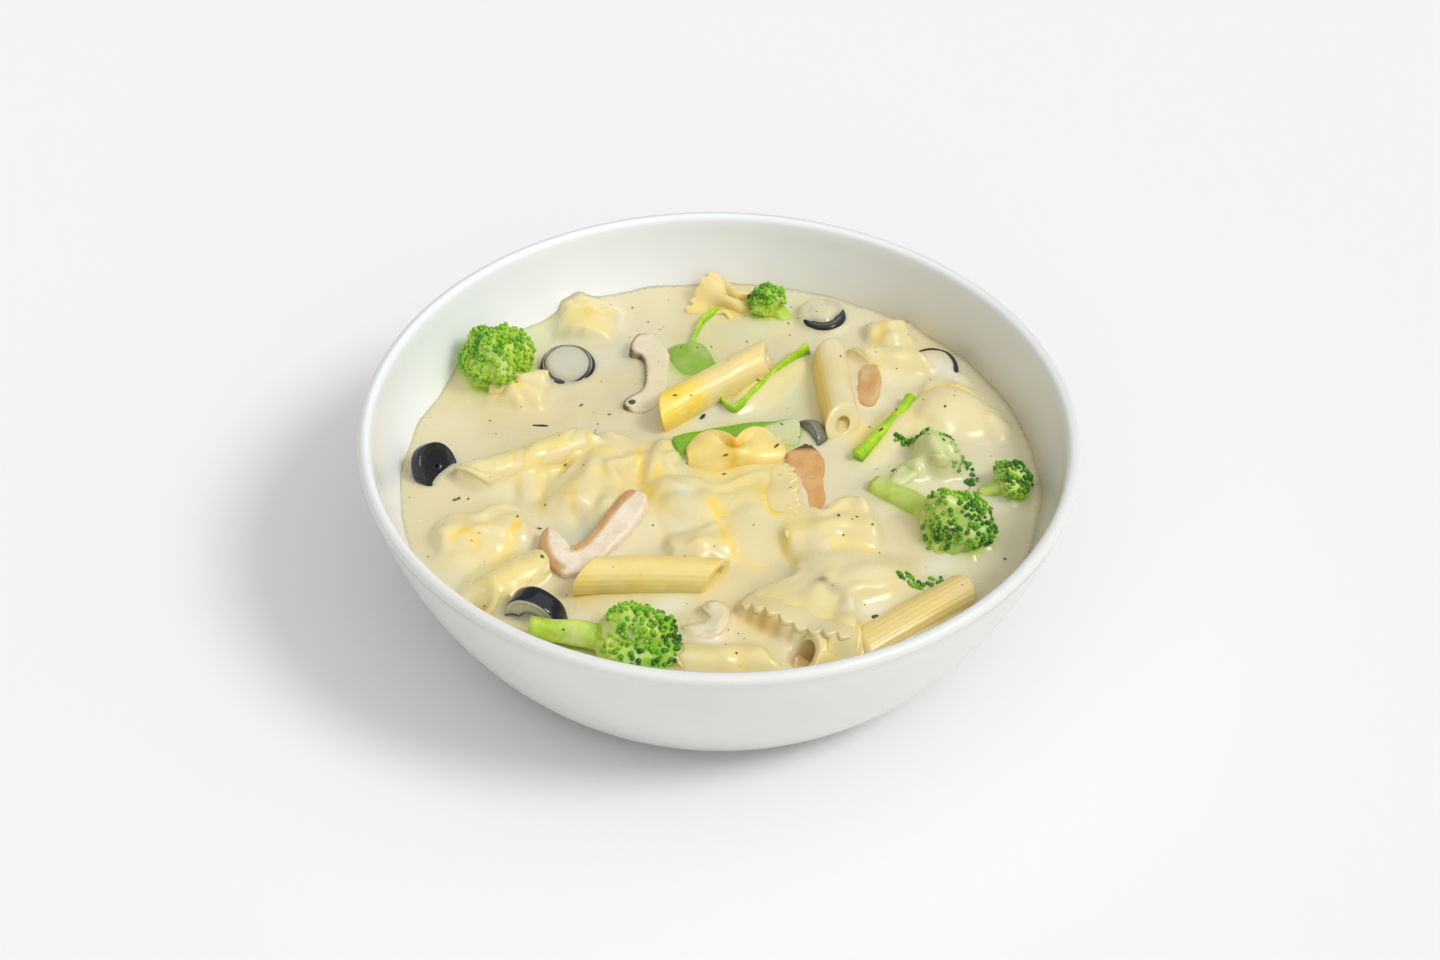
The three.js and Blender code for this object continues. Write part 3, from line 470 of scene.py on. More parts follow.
class StageLook(bpy.types.PropertyGroup):
    """The camera and the light."""

    elevation: FloatProperty(
        name="Elevation", description="How far down the camera looks", subtype="ANGLE",
        default=math.radians(41.3),
    )
    roll: FloatProperty(
        name="Roll", description="Turn of the camera about its sight line", subtype="ANGLE",
        default=math.radians(1.05),
    )
    distance: metres("Distance", "From the camera to the food", 0.8)
    lens: number("Lens", "Focal length in millimetres", 72.85)
    sky: number("Sky", "Strength of the light from all round", 0.32)
    ceiling: number("Ceiling", "Strength of the wide light above", 1.42)
    sun: number("Sun", "Strength of the light from the right", 1.3)


class PastaBowlSettings(bpy.types.PropertyGroup):
    """All settings of the bowl of pasta."""

    bowl: PointerProperty(type=BowlShape)
    sauce: PointerProperty(type=SaucePour)
    colours: PointerProperty(type=FoodColours)
    stage: PointerProperty(type=StageLook)


def settings():
    return bpy.context.scene.pasta_bowl


# Shapes of the bowl, in millimetres


def belly(fraction):
    """How far the wall has swung out at a fraction of its height, from 0 to 1."""
    rest = 1 - min(max(fraction, 0), 1)
    return (1 - rest ** WALL_POWERS[0]) ** (1 / WALL_POWERS[1])


def outer_radius(z):
    shape = settings().bowl
    spread = shape.rim_radius - shape.base_radius
    return (shape.base_radius + spread * belly(z * MM / shape.height)) / MM


def inner_radius(z):
    shape = settings().bowl
    fraction = (z * MM - shape.floor_height) / (shape.height - shape.floor_height)
    return (shape.floor_radius + (shape.inner_rim_radius - shape.floor_radius) * belly(fraction)) / MM


def bowl_profile(shape):
    """Radius and height of points from the middle of the underside round to the middle of the floor."""
    height, rim, lip = shape.height / MM, shape.rim_radius / MM, shape.lip_radius / MM
    foot, rise = shape.foot_radius / MM, shape.foot_height / MM
    base = shape.base_radius / MM
    points = [(0, 1.4 * rise), (30, 1.2 * rise), (foot - 5.4, rise), (foot - 4.2, 0.25 * rise)]
    points += [(foot - 3.6, 0), (foot - 0.5, 0), (foot, 0.15 * rise)]
    points += [(foot + 1.2, 0.9 * rise), (foot + 2, rise)]
    points += [(base - 2, 1.05 * rise), (base, 1.2 * rise)]
    side = [2 * rise + (height - 2 * lip - 2 * rise) * (i / 26) ** 1.5 for i in range(27)]
    points += [(outer_radius(z) - 0.35, z) for z in side]
    for i in range(1, 10):
        turn = math.radians(-50 + 140 * i / 9)
        points.append((rim - lip + lip * math.cos(turn), height - lip + lip * math.sin(turn)))
    inner = shape.inner_rim_radius / MM
    points += [(rim - lip - 0.5, height - 0.05), (inner + 0.5, height - 0.5), (inner + 0.15, height - 1)]
    low = shape.floor_height / MM
    wall = [low + 0.3 + (height - 2 - low) * (i / 26) ** 1.5 for i in range(26, -1, -1)]
    points += [(inner_radius(z), z) for z in wall]
    points += [(shape.floor_radius / MM - 2, low + 0.1), (shape.floor_radius / MM - 6, low), (0, low)]
    return points


def sauce_level(x, y):
    """Height of the resting sauce: highest in the middle, with soft swells."""
    pour = settings().sauce
    fraction = math.hypot(x, y) / inner_radius(pour.edge_level / MM)
    dome = pour.rise / MM * (1 - fraction ** 2)
    swell = 0.5 * math.sin(x / 11 + 0.6) * math.cos(y / 13 - 0.4) * (1 - fraction ** 4)
    patch = 0.8 * noise.noise(Vector((x / 15, y / 15, 3.0))) + 0.3 * noise.noise(Vector((x / 6, y / 6, 9.0)))
    return pour.edge_level / MM + dome + swell + patch + SAUCE_TILT[0] * x + SAUCE_TILT[1] * y


# Making and placing pieces


def place_matrix(piece):
    """Where a piece lies, in millimetres."""
    turns = (piece.get("roll", 0), -piece.get("tip", 0), piece.get("turn", 0))
    return Matrix.LocRotScale(Vector(piece["at"]), Euler([math.radians(t) for t in turns], "XYZ"), None)


def add_object(bm, name, material):
    """Stores a mesh that is in millimetres as a smooth object in metres that rides on the bowl."""
    bmesh.ops.scale(bm, vec=(MM, MM, MM), verts=bm.verts)
    mesh = bpy.data.meshes.new(name)
    bm.to_mesh(mesh)
    bm.free()
    mesh.shade_smooth()
    mesh.materials.append(material)
    made = bpy.data.objects.new(name, mesh)
    bpy.context.scene.collection.objects.link(made)
    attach(made, "root")
    return made


def add_food(bm, name, material):
    """Sets a piece of food in its place and lets it stand for its solid."""
    bmesh.ops.transform(bm, matrix=place_matrix(FOOD[name]), verts=bm.verts)
    made = add_object(bm, name + FINE, material)
    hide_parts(name)
    return made


def apply_modifiers(made):
    """Makes the modified shape the object's own mesh."""
    shown = made.evaluated_get(bpy.context.evaluated_depsgraph_get())
    fresh = bpy.data.meshes.new_from_object(shown)
    made.modifiers.clear()
    old = made.data
    made.data = fresh
    bpy.data.meshes.remove(old)
    fresh.shade_smooth()


def thicken(made, thickness):
    """Gives a sheet its thickness and rounds its rim."""
    wall = made.modifiers.new("Thickness", "SOLIDIFY")
    wall.thickness = thickness * MM
    wall.offset = 0
    soft = made.modifiers.new("Soft edges", "SUBSURF")
    soft.levels = soft.render_levels = 1
    apply_modifiers(made)


def melt(made, voxel, passes):
    """Rebuilds a chunk as an even skin with rounded edges."""
    skin = made.modifiers.new("Skin", "REMESH")
    skin.mode = "VOXEL"
    skin.voxel_size = voxel * MM
    skin.use_smooth_shade = True
    soft = made.modifiers.new("Soft", "SMOOTH")
    soft.factor = 0.5
    soft.iterations = passes
    apply_modifiers(made)


def vertex_places(mesh):
    """The vertices of a mesh as rows of x, y and z in millimetres."""
    flat = np.empty(len(mesh.vertices) * 3, np.float32)
    mesh.vertices.foreach_get("co", flat)
    return flat.reshape(-1, 3).astype(float) / MM


def roughen(made, size, depth, seed=0.0):
    """Pushes a skin in and out along its normals by noise. Size and depth are in millimetres."""
    shift = Vector((seed, -seed, 2 * seed))
    for vertex in made.data.vertices:
        bump = noise.noise(vertex.co / (size * MM) + shift)
        vertex.co += vertex.normal * (bump * depth * MM)


def store(mesh, name, values, kind="FLOAT"):
    """Keeps a value or a colour for each vertex, for the material to read."""
    layer = mesh.attributes.new(name, kind, "POINT")
    field = "color" if kind == "FLOAT_COLOR" else "value"
    layer.data.foreach_set(field, np.asarray(values, np.float32).ravel())


def keep_inside(made):
    """Presses food that would pass the wall of the bowl flat against it."""
    for vertex in made.data.vertices:
        limit = (inner_radius(vertex.co.z / MM) - 0.3) * MM
        if vertex.co.xy.length > limit:
            vertex.co.xy = vertex.co.xy.normalized() * limit


def catmull(points, at):
    """A point on the smooth line through points, at from 0 to 1."""
    place = min(max(at, 0), 1) * (len(points) - 1)
    start = min(int(place), len(points) - 2)
    t = place - start
    a, b, c, d = (Vector(points[min(max(start + k, 0), len(points) - 1)]) for k in (-1, 0, 1, 2))
    square, cube = 2 * a - 5 * b + 4 * c - d, 3 * b - a - 3 * c + d
    return 0.5 * (2 * b + (c - a) * t + square * t ** 2 + cube * t ** 3)


# The food, one function for each kind


def penne_mesh(piece, ridges=22, radius=5.2, wall=1.5, bend=0.0012):
    """A ridged tube, cut on the slant at both ends and a little flattened by cooking."""
    length = piece["length"]
    bm = bmesh.new()
    bmesh.ops.create_cone(
        bm, cap_ends=False, segments=5 * ridges, radius1=radius, radius2=radius, depth=length,
    )
    lengthwise = [e for e in bm.edges if e.calc_length() > 0.5 * length]
    bmesh.ops.subdivide_edges(bm, edges=lengthwise, cuts=26, use_grid_fill=True)
    bmesh.ops.solidify(bm, geom=bm.faces[:], thickness=wall)
    ends = [e for e in bm.edges if abs(e.verts[0].co.z) > length / 2 - 0.01
            and abs(e.verts[1].co.z) > length / 2 - 0.01 and e.calc_face_angle(0) > 1]
    bmesh.ops.bevel(
        bm, geom=ends, offset=0.6, segments=3, profile=0.5, affect="EDGES", clamp_overlap=True, material=-1,
    )
    far = max(math.hypot(v.co.x, v.co.y) for v in bm.verts)
    for v in bm.verts:
        angle = math.atan2(v.co.y, v.co.x)
        out = math.hypot(v.co.x, v.co.y) - (far - radius)
        skin = min(max((out - radius + wall) / wall, 0), 1)
        place = Vector((v.co.z / 9, math.cos(angle), math.sin(angle) + piece["length"]))
        uneven = 1 + 0.05 * noise.noise(place)
        out = (out + piece.get("ridges", 0.02) * skin * math.cos(ridges * angle)) * uneven
        near_end = min(max(1 - (length / 2 - abs(v.co.z)) / 2.5, 0), 1)
        out *= 1 - piece.get("choke", 0.2) * (1 - skin) * near_end ** 0.5
        if abs(v.co.z) < length / 2 - piece.get("cup", length):
            out *= 1 - 0.94 * (1 - skin)
        across, up = 1.03 * out * math.cos(angle), 0.95 * out * math.sin(angle)
        along = v.co.z + PENNE_SLANT * up
        v.co = (along, across, up - bend * along ** 2)
    bmesh.ops.recalc_face_normals(bm, faces=bm.faces)
    return bm


def farfalle_sheet(piece, flare=2.2):
    """A pasta bow as a sheet: pinched in the middle, with ruffled wings and toothed ends."""
    teeth = piece.get("teeth", 5)
    tooth = piece.get("tooth", 1.3)
    pinch = piece.get("pinch", 0.36)
    bm = bmesh.new()
    bmesh.ops.create_grid(bm, x_segments=44, y_segments=8 * teeth, size=1)
    for v in bm.verts:
        u, w = v.co.x, v.co.y
        wing = abs(u)
        spread = 1 - (1 - min(math.sqrt(u * u + 0.006 * (1 - wing)), 1)) ** flare
        lobed = math.sin(math.pi * min(wing, 1)) ** 0.75 + 0.15 * wing
        spread += (lobed - spread) * piece.get("lobed", 0)
        if w < 0:
            spread += (1 - 0.35 * wing ** 4 - spread) * piece.get("straight", 0)
        half = piece["half_width"] * (pinch + (1 - pinch) * spread)
        fold = piece.get("pleat", 1.9) * math.exp(-((u / 0.35) ** 2))
        fold = fold * math.cos(2 * math.pi * w) * (1 - 0.5 * w ** 4)
        ruffle = piece["ruffle"] * wing * math.sin(1.5 * math.pi * w + piece["phase"] + u)
        curl = piece["curl"][1 if u > 0 else 0] * wing ** 2
        arch = piece["arch"] * w * w * spread
        trim = 1 - piece.get("round", 0.08) * wing ** 2 * w ** 4
        notch = tooth * (1 - abs(math.sin(math.pi * (w + 1) * teeth / 2)) ** 0.8) * wing ** 12
        uneven = 0.5 * noise.noise(Vector((u * 2, w * 2, piece["phase"] * 7)))
        along = piece["half_length"] * u * trim - math.copysign(notch, u)
        v.co = (along, half * w * trim, fold + ruffle + curl + arch + uneven)
    return bm


def olive_mesh(piece):
    """A ring of olive: a rounded band, hollowed a little on its cut faces."""
    radius, thickness = piece.get("radius", OLIVE_RADIUS), piece.get("thickness", 4.4)
    hole, half = piece.get("hole", 2.9), thickness / 2
    bm = bmesh.new()
    loop = []
    steps = 40
    for i in range(steps):
        angle = 2 * math.pi * i / steps
        side, up = math.cos(angle), math.sin(angle)
        middle, reach = (radius + hole) / 2, (radius - hole) / 2
        bulge = math.copysign(abs(side) ** 0.35, side) * reach
        loop.append(bm.verts.new((middle + bulge, 0, math.copysign(abs(up) ** 0.55, up) * half)))
    edges = [bm.edges.new((loop[i], loop[(i + 1) % steps])) for i in range(steps)]
    bmesh.ops.spin(
        bm, geom=loop + edges, cent=(0, 0, 0), axis=(0, 0, 1), dvec=(0, 0, 0), angle=2 * math.pi, steps=72,
        use_merge=True,
    )
    for v in bm.verts:
        inside = radius - 1.3 - math.hypot(v.co.x, v.co.y)
        v.co.z *= 1 - piece.get("dish", 0.24) * min(max(inside / 0.7 + 0.5, 0), 1)
        v.co += v.co.normalized() * 0.25 * noise.noise(v.co / 5 + Vector(piece["at"]))
    bmesh.ops.recalc_face_normals(bm, faces=bm.faces)
    return bm


def mushroom_outline(piece):
    """The smooth closed outline of a slice, as rows of x and y."""
    corners = [(x * piece["stretch"][0], y * piece["stretch"][1], 0) for x, y in piece["outline"]]
    looped = corners + corners[:3]
    first, last = 1 / (len(looped) - 1), (len(looped) - 2) / (len(looped) - 1)
    count = 8 * len(corners)
    return np.array([catmull(looped, first + (last - first) * i / count)[:2] for i in range(count)])


def mushroom_mesh(piece):
    """A slab with the slice's outline, before its edges are rounded."""
    bm = bmesh.new()
    face = bm.faces.new([bm.verts.new((x, y, -piece["thickness"] / 2)) for x, y in mushroom_outline(piece)])
    raised = bmesh.ops.extrude_face_region(bm, geom=[face])["geom"]
    bmesh.ops.translate(
        bm, vec=(0, 0, piece["thickness"]), verts=[g for g in raised if isinstance(g, bmesh.types.BMVert)],
    )
    bmesh.ops.recalc_face_normals(bm, faces=bm.faces)
    return bm


def mushroom_edge(piece, places):
    """How much of its skin's colour a slice has at places on it: 1 near its outline, 0 inside."""
    outline = mushroom_outline(piece)
    away = np.array([np.hypot(*(outline - place).T) for place in places])
    edge = np.clip((piece.get("rim", 1.3) + 0.6 - away.min(1)) / 1.2, 0, 1)
    if "side" in piece:
        run = np.roll(outline, -1, 0) - np.roll(outline, 1, 0)
        outward = np.column_stack([run[:, 1], -run[:, 0]]) / np.linalg.norm(run, axis=1)[:, None]
        if (outline * outward).sum() < 0:
            outward = -outward
        edge *= np.clip(outward[away.argmin(1)] @ np.array(piece["side"]) * 1.6 + 0.3, 0, 1)
    return edge


def pepper_strip_sheet(piece):
    """The middle of a strip that stands on edge along its bent line."""
    bm = bmesh.new()
    bmesh.ops.create_grid(bm, x_segments=44, y_segments=10, size=1)
    for v in bm.verts:
        spot = catmull([(*p, 0) for p in piece["path"]], (v.co.x + 1) / 2)
        up = v.co.y * piece["height"] / 2
        v.co = (spot.x + piece["lean"] * up, spot.y, up)
    return bm


def pepper_flat_sheet(piece):
    """The middle of a flat cut of pepper that sags along and across."""
    bm = bmesh.new()
    bmesh.ops.create_grid(bm, x_segments=40, y_segments=16, size=1)
    for v in bm.verts:
        u, w = v.co.x, v.co.y
        trim = 1 - 0.1 * w * w * u * u
        sag = piece["sag_long"] * u * u + piece["sag_across"] * w * w
        half = piece["half_length"] + piece.get("taper", 0) * w
        v.co = (half * u * trim, piece["half_width"] * w * trim, sag)
    return bm


def spiral_way(draw, i, outward, stray):
    """The direction with number i on a spiral round X, moved a little at random."""
    ring = math.sqrt(1 - outward ** 2)
    way = Vector((outward, ring * math.cos(GOLDEN * i), ring * math.sin(GOLDEN * i)))
    return (way + Vector([draw.uniform(-stray, stray) for _ in range(3)])).normalized()


def crown_lobes(piece, count=13):
    """Directions in which the small heads of a crown stand out."""
    draw = random.Random(piece["at"][0])
    return [spiral_way(draw, i, 0.97 - 1.35 * i / count, 0.2) for i in range(count)]


def crown_point(piece, lobes, way):
    """Where the surface of a crown lies in the direction way, in millimetres."""
    angle = math.atan2(way.z, way.y)
    lobe = 1 + 0.07 * math.cos(4 * angle + 1) * (1 - way.x * way.x)
    head = max(math.exp(-((way - each).length / 0.42) ** 2) for each in lobes)
    lump = noise.noise(way * 5 + Vector(piece["at"])) * 0.07
    spot = way * piece["crown"] * (lobe * (0.78 + 0.24 * head) + lump)
    spot.x *= piece["squash"]
    return spot, head


def bud_layers(bm):
    """How green a vertex is, and whether it is on a bud."""
    layers = bm.verts.layers.float
    return [layers.get(name) or layers.new(name) for name in ("green", "bud")]


def add_bud(bm, place, size, shade):
    """Adds one bud of a shade of green."""
    green, on_bud = bud_layers(bm)
    made = bmesh.ops.create_icosphere(bm, subdivisions=2, radius=size, matrix=Matrix.Translation(place))
    for v in made["verts"]:
        v[green], v[on_bud] = shade, 1


def broccoli_mesh(piece, seed):
    """A floret. Each vertex carries how green it is, and whether it is on a bud."""
    draw = random.Random(seed)
    bm = bmesh.new()
    green = bud_layers(bm)[0]
    stem_half = piece["stem"] / 2 + piece["crown"] * 0.3
    stem = bmesh.ops.create_cone(
        bm, cap_ends=True, segments=28, radius1=piece["stem_radius"], radius2=piece["stem_radius"] * 1.3,
        depth=2 * stem_half,
        matrix=Matrix.Translation((-stem_half, 0, 0)) @ Matrix.Rotation(math.pi / 2, 4, "Y"),
    )["verts"]
    lengthwise = [e for e in {e for v in stem for e in v.link_edges} if e.calc_length() > 1.8 * stem_half]
    bmesh.ops.subdivide_edges(bm, edges=lengthwise, cuts=18, use_grid_fill=True)
    for v in bm.verts:
        v.co += Vector((0, v.co.y, v.co.z)) * 0.22 * noise.noise(Vector((v.co.x / 5, v.co.y / 3, v.co.z / 3)))
        v[green] = 0.1 + 0.25 * noise.noise(v.co / 4)
    lobes = crown_lobes(piece)
    dark_side = Vector(piece.get("dark", (0.6, 0, 0)))
    bald = place_matrix(piece).to_3x3().inverted() @ Vector(piece.get("bald", (0, 0, -3)))
    crown = bmesh.ops.create_icosphere(bm, subdivisions=5, radius=1)["verts"]
    for v in crown:
        way = v.co.normalized()
        v.co, head = crown_point(piece, lobes, way)
        v[green] = min(max(0.1 + 0.35 * way.dot(dark_side) + 0.3 * noise.noise(way * 2.5), 0), 0.55)
    count = int(6.2 * piece["crown"] ** 2)
    for i in range(count):
        way = spiral_way(draw, i, 1 - 1.6 * (i + 0.5) / count, 0.06)
        base, head = crown_point(piece, lobes, way)
        shade = 0.55 + 0.45 * way.dot(dark_side) + 0.35 * noise.noise(way * 2 + Vector((seed, 0, 0)))
        sparse = shade < draw.uniform(0.1, 0.3) or way.dot(bald) > draw.uniform(0, 0.4)
        if draw.random() > 0.1 + 0.6 * head + 0.45 * shade or sparse:
            continue
        size = draw.uniform(0.42, 0.78)
        shade = min(max(shade + draw.uniform(-0.22, 0.22) - piece.get("lime", 0), 0.3), 1)
        add_bud(bm, base + way * 0.5 * size, size, shade)
    return bm


# The height of the sauce, worked out on a square raster over the bowl


class Poured:
    """The sauce's surface and what lies under it, on a raster in millimetres."""

    half = 96.0
    cells = 320
    heights = None
    tops = None
    under = None
    thin = None
    hollow = None


def raster_place(x, y):
    """Column and row of a place on the raster, as arrays with fractions."""
    scale = Poured.cells / (2 * Poured.half)
    return (x + Poured.half) * scale, (y + Poured.half) * scale


def sample(field, x, y):
    """The raster's values at places x, y, blended between cells."""
    column, row = raster_place(x, y)
    column = np.clip(column, 0, Poured.cells - 1.001)
    row = np.clip(row, 0, Poured.cells - 1.001)
    left, low = column.astype(int), row.astype(int)
    across, up = column - left, row - low
    if field.ndim == 3:
        across, up = across[:, None], up[:, None]
    bottom = field[low, left] * (1 - across) + field[low, left + 1] * across
    top = field[low + 1, left] * (1 - across) + field[low + 1, left + 1] * across
    return bottom * (1 - up) + top * up


def land_height(x, y):
    """How high the food or the sauce reaches at a place."""
    land = np.maximum(Poured.tops, Poured.heights)
    return float(sample(land, np.array([x]), np.array([y]))[0])


def blur(field, reach):
    """Rounds off a raster over a width in millimetres."""
    sigma = reach * Poured.cells / (2 * Poured.half)
    steps = np.arange(-math.ceil(3 * sigma), math.ceil(3 * sigma) + 1)
    weights = np.exp(-0.5 * (steps / sigma) ** 2)
    weights /= weights.sum()
    edge = len(steps) // 2
    pad = [(edge, edge), (edge, edge)] + [(0, 0)] * (field.ndim - 2)
    wide = np.pad(field, pad, mode="edge")
    rows = sum(w * wide[k:k + field.shape[0]] for k, w in enumerate(weights))
    return sum(w * rows[:, k:k + field.shape[1]] for k, w in enumerate(weights))


def widen(field, reach):
    """Grows what stands high sideways by a width in millimetres."""
    for step in range(round(reach * Poured.cells / (2 * Poured.half))):
        wide = np.pad(field, 1, mode="edge")
        shifts = ((0, 1), (2, 1), (1, 0), (1, 2), (0, 0), (0, 2), (2, 0), (2, 2))[:4 if step % 2 else 8]
        for down, right in shifts:
            field = np.maximum(field, wide[down:down + field.shape[0], right:right + field.shape[1]])
    return field


def swell(lump, x, y):
    """Height of a rounded swelling over the raster."""
    dx, dy, turn = x - lump[0], y - lump[1], math.radians(lump[4])
    along = (dx * math.cos(turn) + dy * math.sin(turn)) / lump[2]
    across = (dy * math.cos(turn) - dx * math.sin(turn)) / lump[3]
    return lump[5] * np.clip(1 - along ** 2 - across ** 2, 0, 1) ** 0.6


def along_fold(points, width, x, y):
    """How near the raster's places are to a fold, from 1 on it to 0."""
    corners = [(*p, 0) for p in points]
    steps = 10 * (len(points) - 1)
    away = np.full(x.shape, 1e6)
    for i in range(steps + 1):
        spot = catmull(corners, i / steps)
        away = np.minimum(away, (x - spot.x) ** 2 + (y - spot.y) ** 2)
    return np.exp(-away / width ** 2)


def under_colour(name, piece):
    """The colour of a piece where it shows through thin sauce, paler where sauce coats it too."""
    colours = settings().colours
    kind = name.split("_")[0]
    shown = {
        "penne": colours.pasta, "farfalle": colours.pasta, "broccoli": colours.flesh,
        "olive": DULL_OLIVE, "mushroom": colours.mushroom, "pepper": colours.pepper,
    }[kind]
    soft = 0.85 * piece["coat"] if kind in {"penne", "farfalle", "mushroom"} else 0
    return tuple(a + (b - a) * soft for a, b in zip(shown, colours.cream))


def bare_fade(piece, along):
    """How much sauce stays on a piece at places along its own X: 1 where coated, 0 where it is bare."""
    if "bare" not in piece:
        return np.ones(np.shape(along))
    end, side = piece["bare"]
    return np.clip((np.asarray(along) - end) * side / -piece.get("fade", 2) + 0.5, 0, 1)


def fill_rings(level, across, up):
    """The sauce's level, raised inside the rings of olive that it fills."""
    for piece in (each for each in OLIVES.values() if "plug" in each):
        dx, dy, turn = across - piece["at"][0], up - piece["at"][1], math.radians(piece["turn"])
        away = np.hypot(dx, dy)
        tilt = min(max(piece["roll"], -20), 20)
        face = piece["at"][2] + piece.get("fill", 1.95) - 0.2 * (away / piece["plug"]) ** 2
        face = face + math.tan(math.radians(tilt)) * (dy * math.cos(turn) - dx * math.sin(turn))
        level = np.where(away < piece["plug"], face, level)
    return level


def lay_stains(across, up):
    """Tints the sauce where something lies in it or under it, and paints shade, shadow and a highlight on it.
    """
    for stain in STAINS:
        mark = blur(swell(stain, across, up), min(0.9, 0.35 * stain[3]))
        kept = Poured.thin * (1 - mark)
        Poured.thin = kept + mark
        shown = Poured.under * kept[:, :, None] + np.array(TINTS[stain[6]]) * mark[:, :, None]
        Poured.under = shown / np.maximum(Poured.thin, 1e-3)[:, :, None]


def survey_food():
    """Finds the top of the food and the sauce's surface over the whole bowl."""
    cells, half = Poured.cells, Poured.half
    places = np.linspace(-half, half, cells, endpoint=False)
    level = np.array([[sauce_level(x, y) for x in places] for y in places])
    tops = np.full((cells, cells), NO_FOOD)
    under = np.tile(np.array(settings().colours.cream), (cells, cells, 1))
    climb = np.full((cells, cells), 2.0)
    skin = np.full((cells, cells), NO_FOOD)
    pasta = np.zeros((cells, cells))
    sheet = np.zeros((cells, cells))
    green = np.zeros((cells, cells))
    bank = np.zeros((cells, cells))
    depsgraph = bpy.context.evaluated_depsgraph_get()
    for name, piece in FOOD.items():
        made = bpy.data.objects[name + FINE]
        tree = BVHTree.FromObject(made, depsgraph)
        back = place_matrix(piece).inverted()
        co = vertex_places(made.data)
        column, row = (int(c) for c in raster_place(*co[:, :2].min(0)))
        column_end, row_end = (int(c) + 2 for c in raster_place(*co[:, :2].max(0)))
        colour = under_colour(name, piece)
        for j in range(max(row, 0), min(row_end, cells)):
            for i in range(max(column, 0), min(column_end, cells)):
                hit = tree.ray_cast(Vector((places[i] * MM, places[j] * MM, RAY_START)), DOWN)[0]
                if not hit or hit.z / MM < tops[j, i]:
                    continue
                tops[j, i] = hit.z / MM
                under[j, i] = colour
                climb[j, i] = piece["climb"]
                skin[j, i] = NO_FOOD
                pasta[j, i] = name in PENNE or name in FARFALLE
                sheet[j, i] = name in FARFALLE or name in OLIVES
                green[j, i] = name in PEPPER_STRIPS or name in PEPPER_SHEETS
                along = (back @ (hit / MM)).x
                height, start = piece.get("bank", (0.8, -50))
                bank[j, i] = height if along > start else 0
                if "skin" in piece:
                    keep = float(bare_fade(piece, along))
                    uneven = 1 + 0.6 * noise.noise(Vector((places[i] / 4, places[j] / 4, 5.0)))
                    skin[j, i] = (piece["skin"] + 0.7) * keep * uneven - 0.7
    across, up = np.meshgrid(places, places)
    lumps = np.max([swell(lump, across, up) for lump in LUMPS], axis=0)
    folds = [along_fold(points, width, across, up) for points, width, depth, colour in FOLDS]
    carved = np.max([near * fold[2] for near, fold in zip(folds, FOLDS)], axis=0)
    creased = np.max([near * fold[3] for near, fold in zip(folds, FOLDS)], axis=0)
    level = fill_rings(level, across, up)
    stand = np.maximum(tops - level, 0)
    raised = level + climb * (1 - np.exp(-1.25 * stand / climb))
    mound = level + 0.5 * blur(np.minimum(stand, 4), SHOULDER) + blur(bank, BANK_SLOPE) + lumps
    bows = widen(np.where((tops + skin > level) & (sheet > 0), tops + skin, NO_FOOD), SHEET_MARGIN)
    poured = np.maximum(np.maximum(raised, mound), np.maximum(tops + skin, bows)) - carved
    poured -= np.max([swell(pit, across, up) for pit in PITS], axis=0)
    Poured.tops = tops
    Poured.heights = blur(poured, settings().sauce.smoothing / MM)
    food = (tops > level).astype(float)
    depth = np.maximum(Poured.heights - tops, 0)
    covered = np.exp(-depth / 0.5) * (tops > -50)
    land = np.maximum(tops, Poured.heights)
    swollen = np.clip(blur(pasta * food, 1.5) + lumps, 0, 1)
    # How far a place lies below its surroundings: the mask of painted shade in hollows
    Poured.hollow = np.clip((blur(land, 2.0) - land) / 0.9, 0, 1)
    warm = (0.6 * swollen)[:, :, None]
    under = under * (1 - warm) + np.array(GLOW) * warm
    under = np.where((creased > 0.3)[:, :, None], np.array(settings().colours.pasta), under)
    # Painted shade: in hollows and folds the pasta under the sauce takes its shaded colour
    deep = np.clip(0.35 * Poured.hollow * swollen + 0.15 * creased, 0, 1)[:, :, None]
    under = under * (1 - deep) + np.array(settings().colours.pasta_shaded) * deep
    food = np.maximum(np.maximum(food, creased), np.clip(lumps, 0, 1))
    near = blur(food, 3.2)[:, :, None]
    spread = blur(under * food[:, :, None], 3.2) / np.maximum(near, 1e-3)
    Poured.under = np.where(covered[:, :, None] > 0.05, under, spread)
    Poured.under = blur(Poured.under, 0.6)
    soaked = 0.14 * near[:, :, 0] + 0.35 * blur(green * food, 3.5)
    # More pasta colour shows through in hollows and folds, as painted shade
    shaded = (0.14 + 0.3 * Poured.hollow) * swollen + 0.5 * creased
    Poured.thin = np.clip(blur(covered, 0.5) * 0.62 + soaked + shaded, 0, 1)
    lay_stains(across, up)


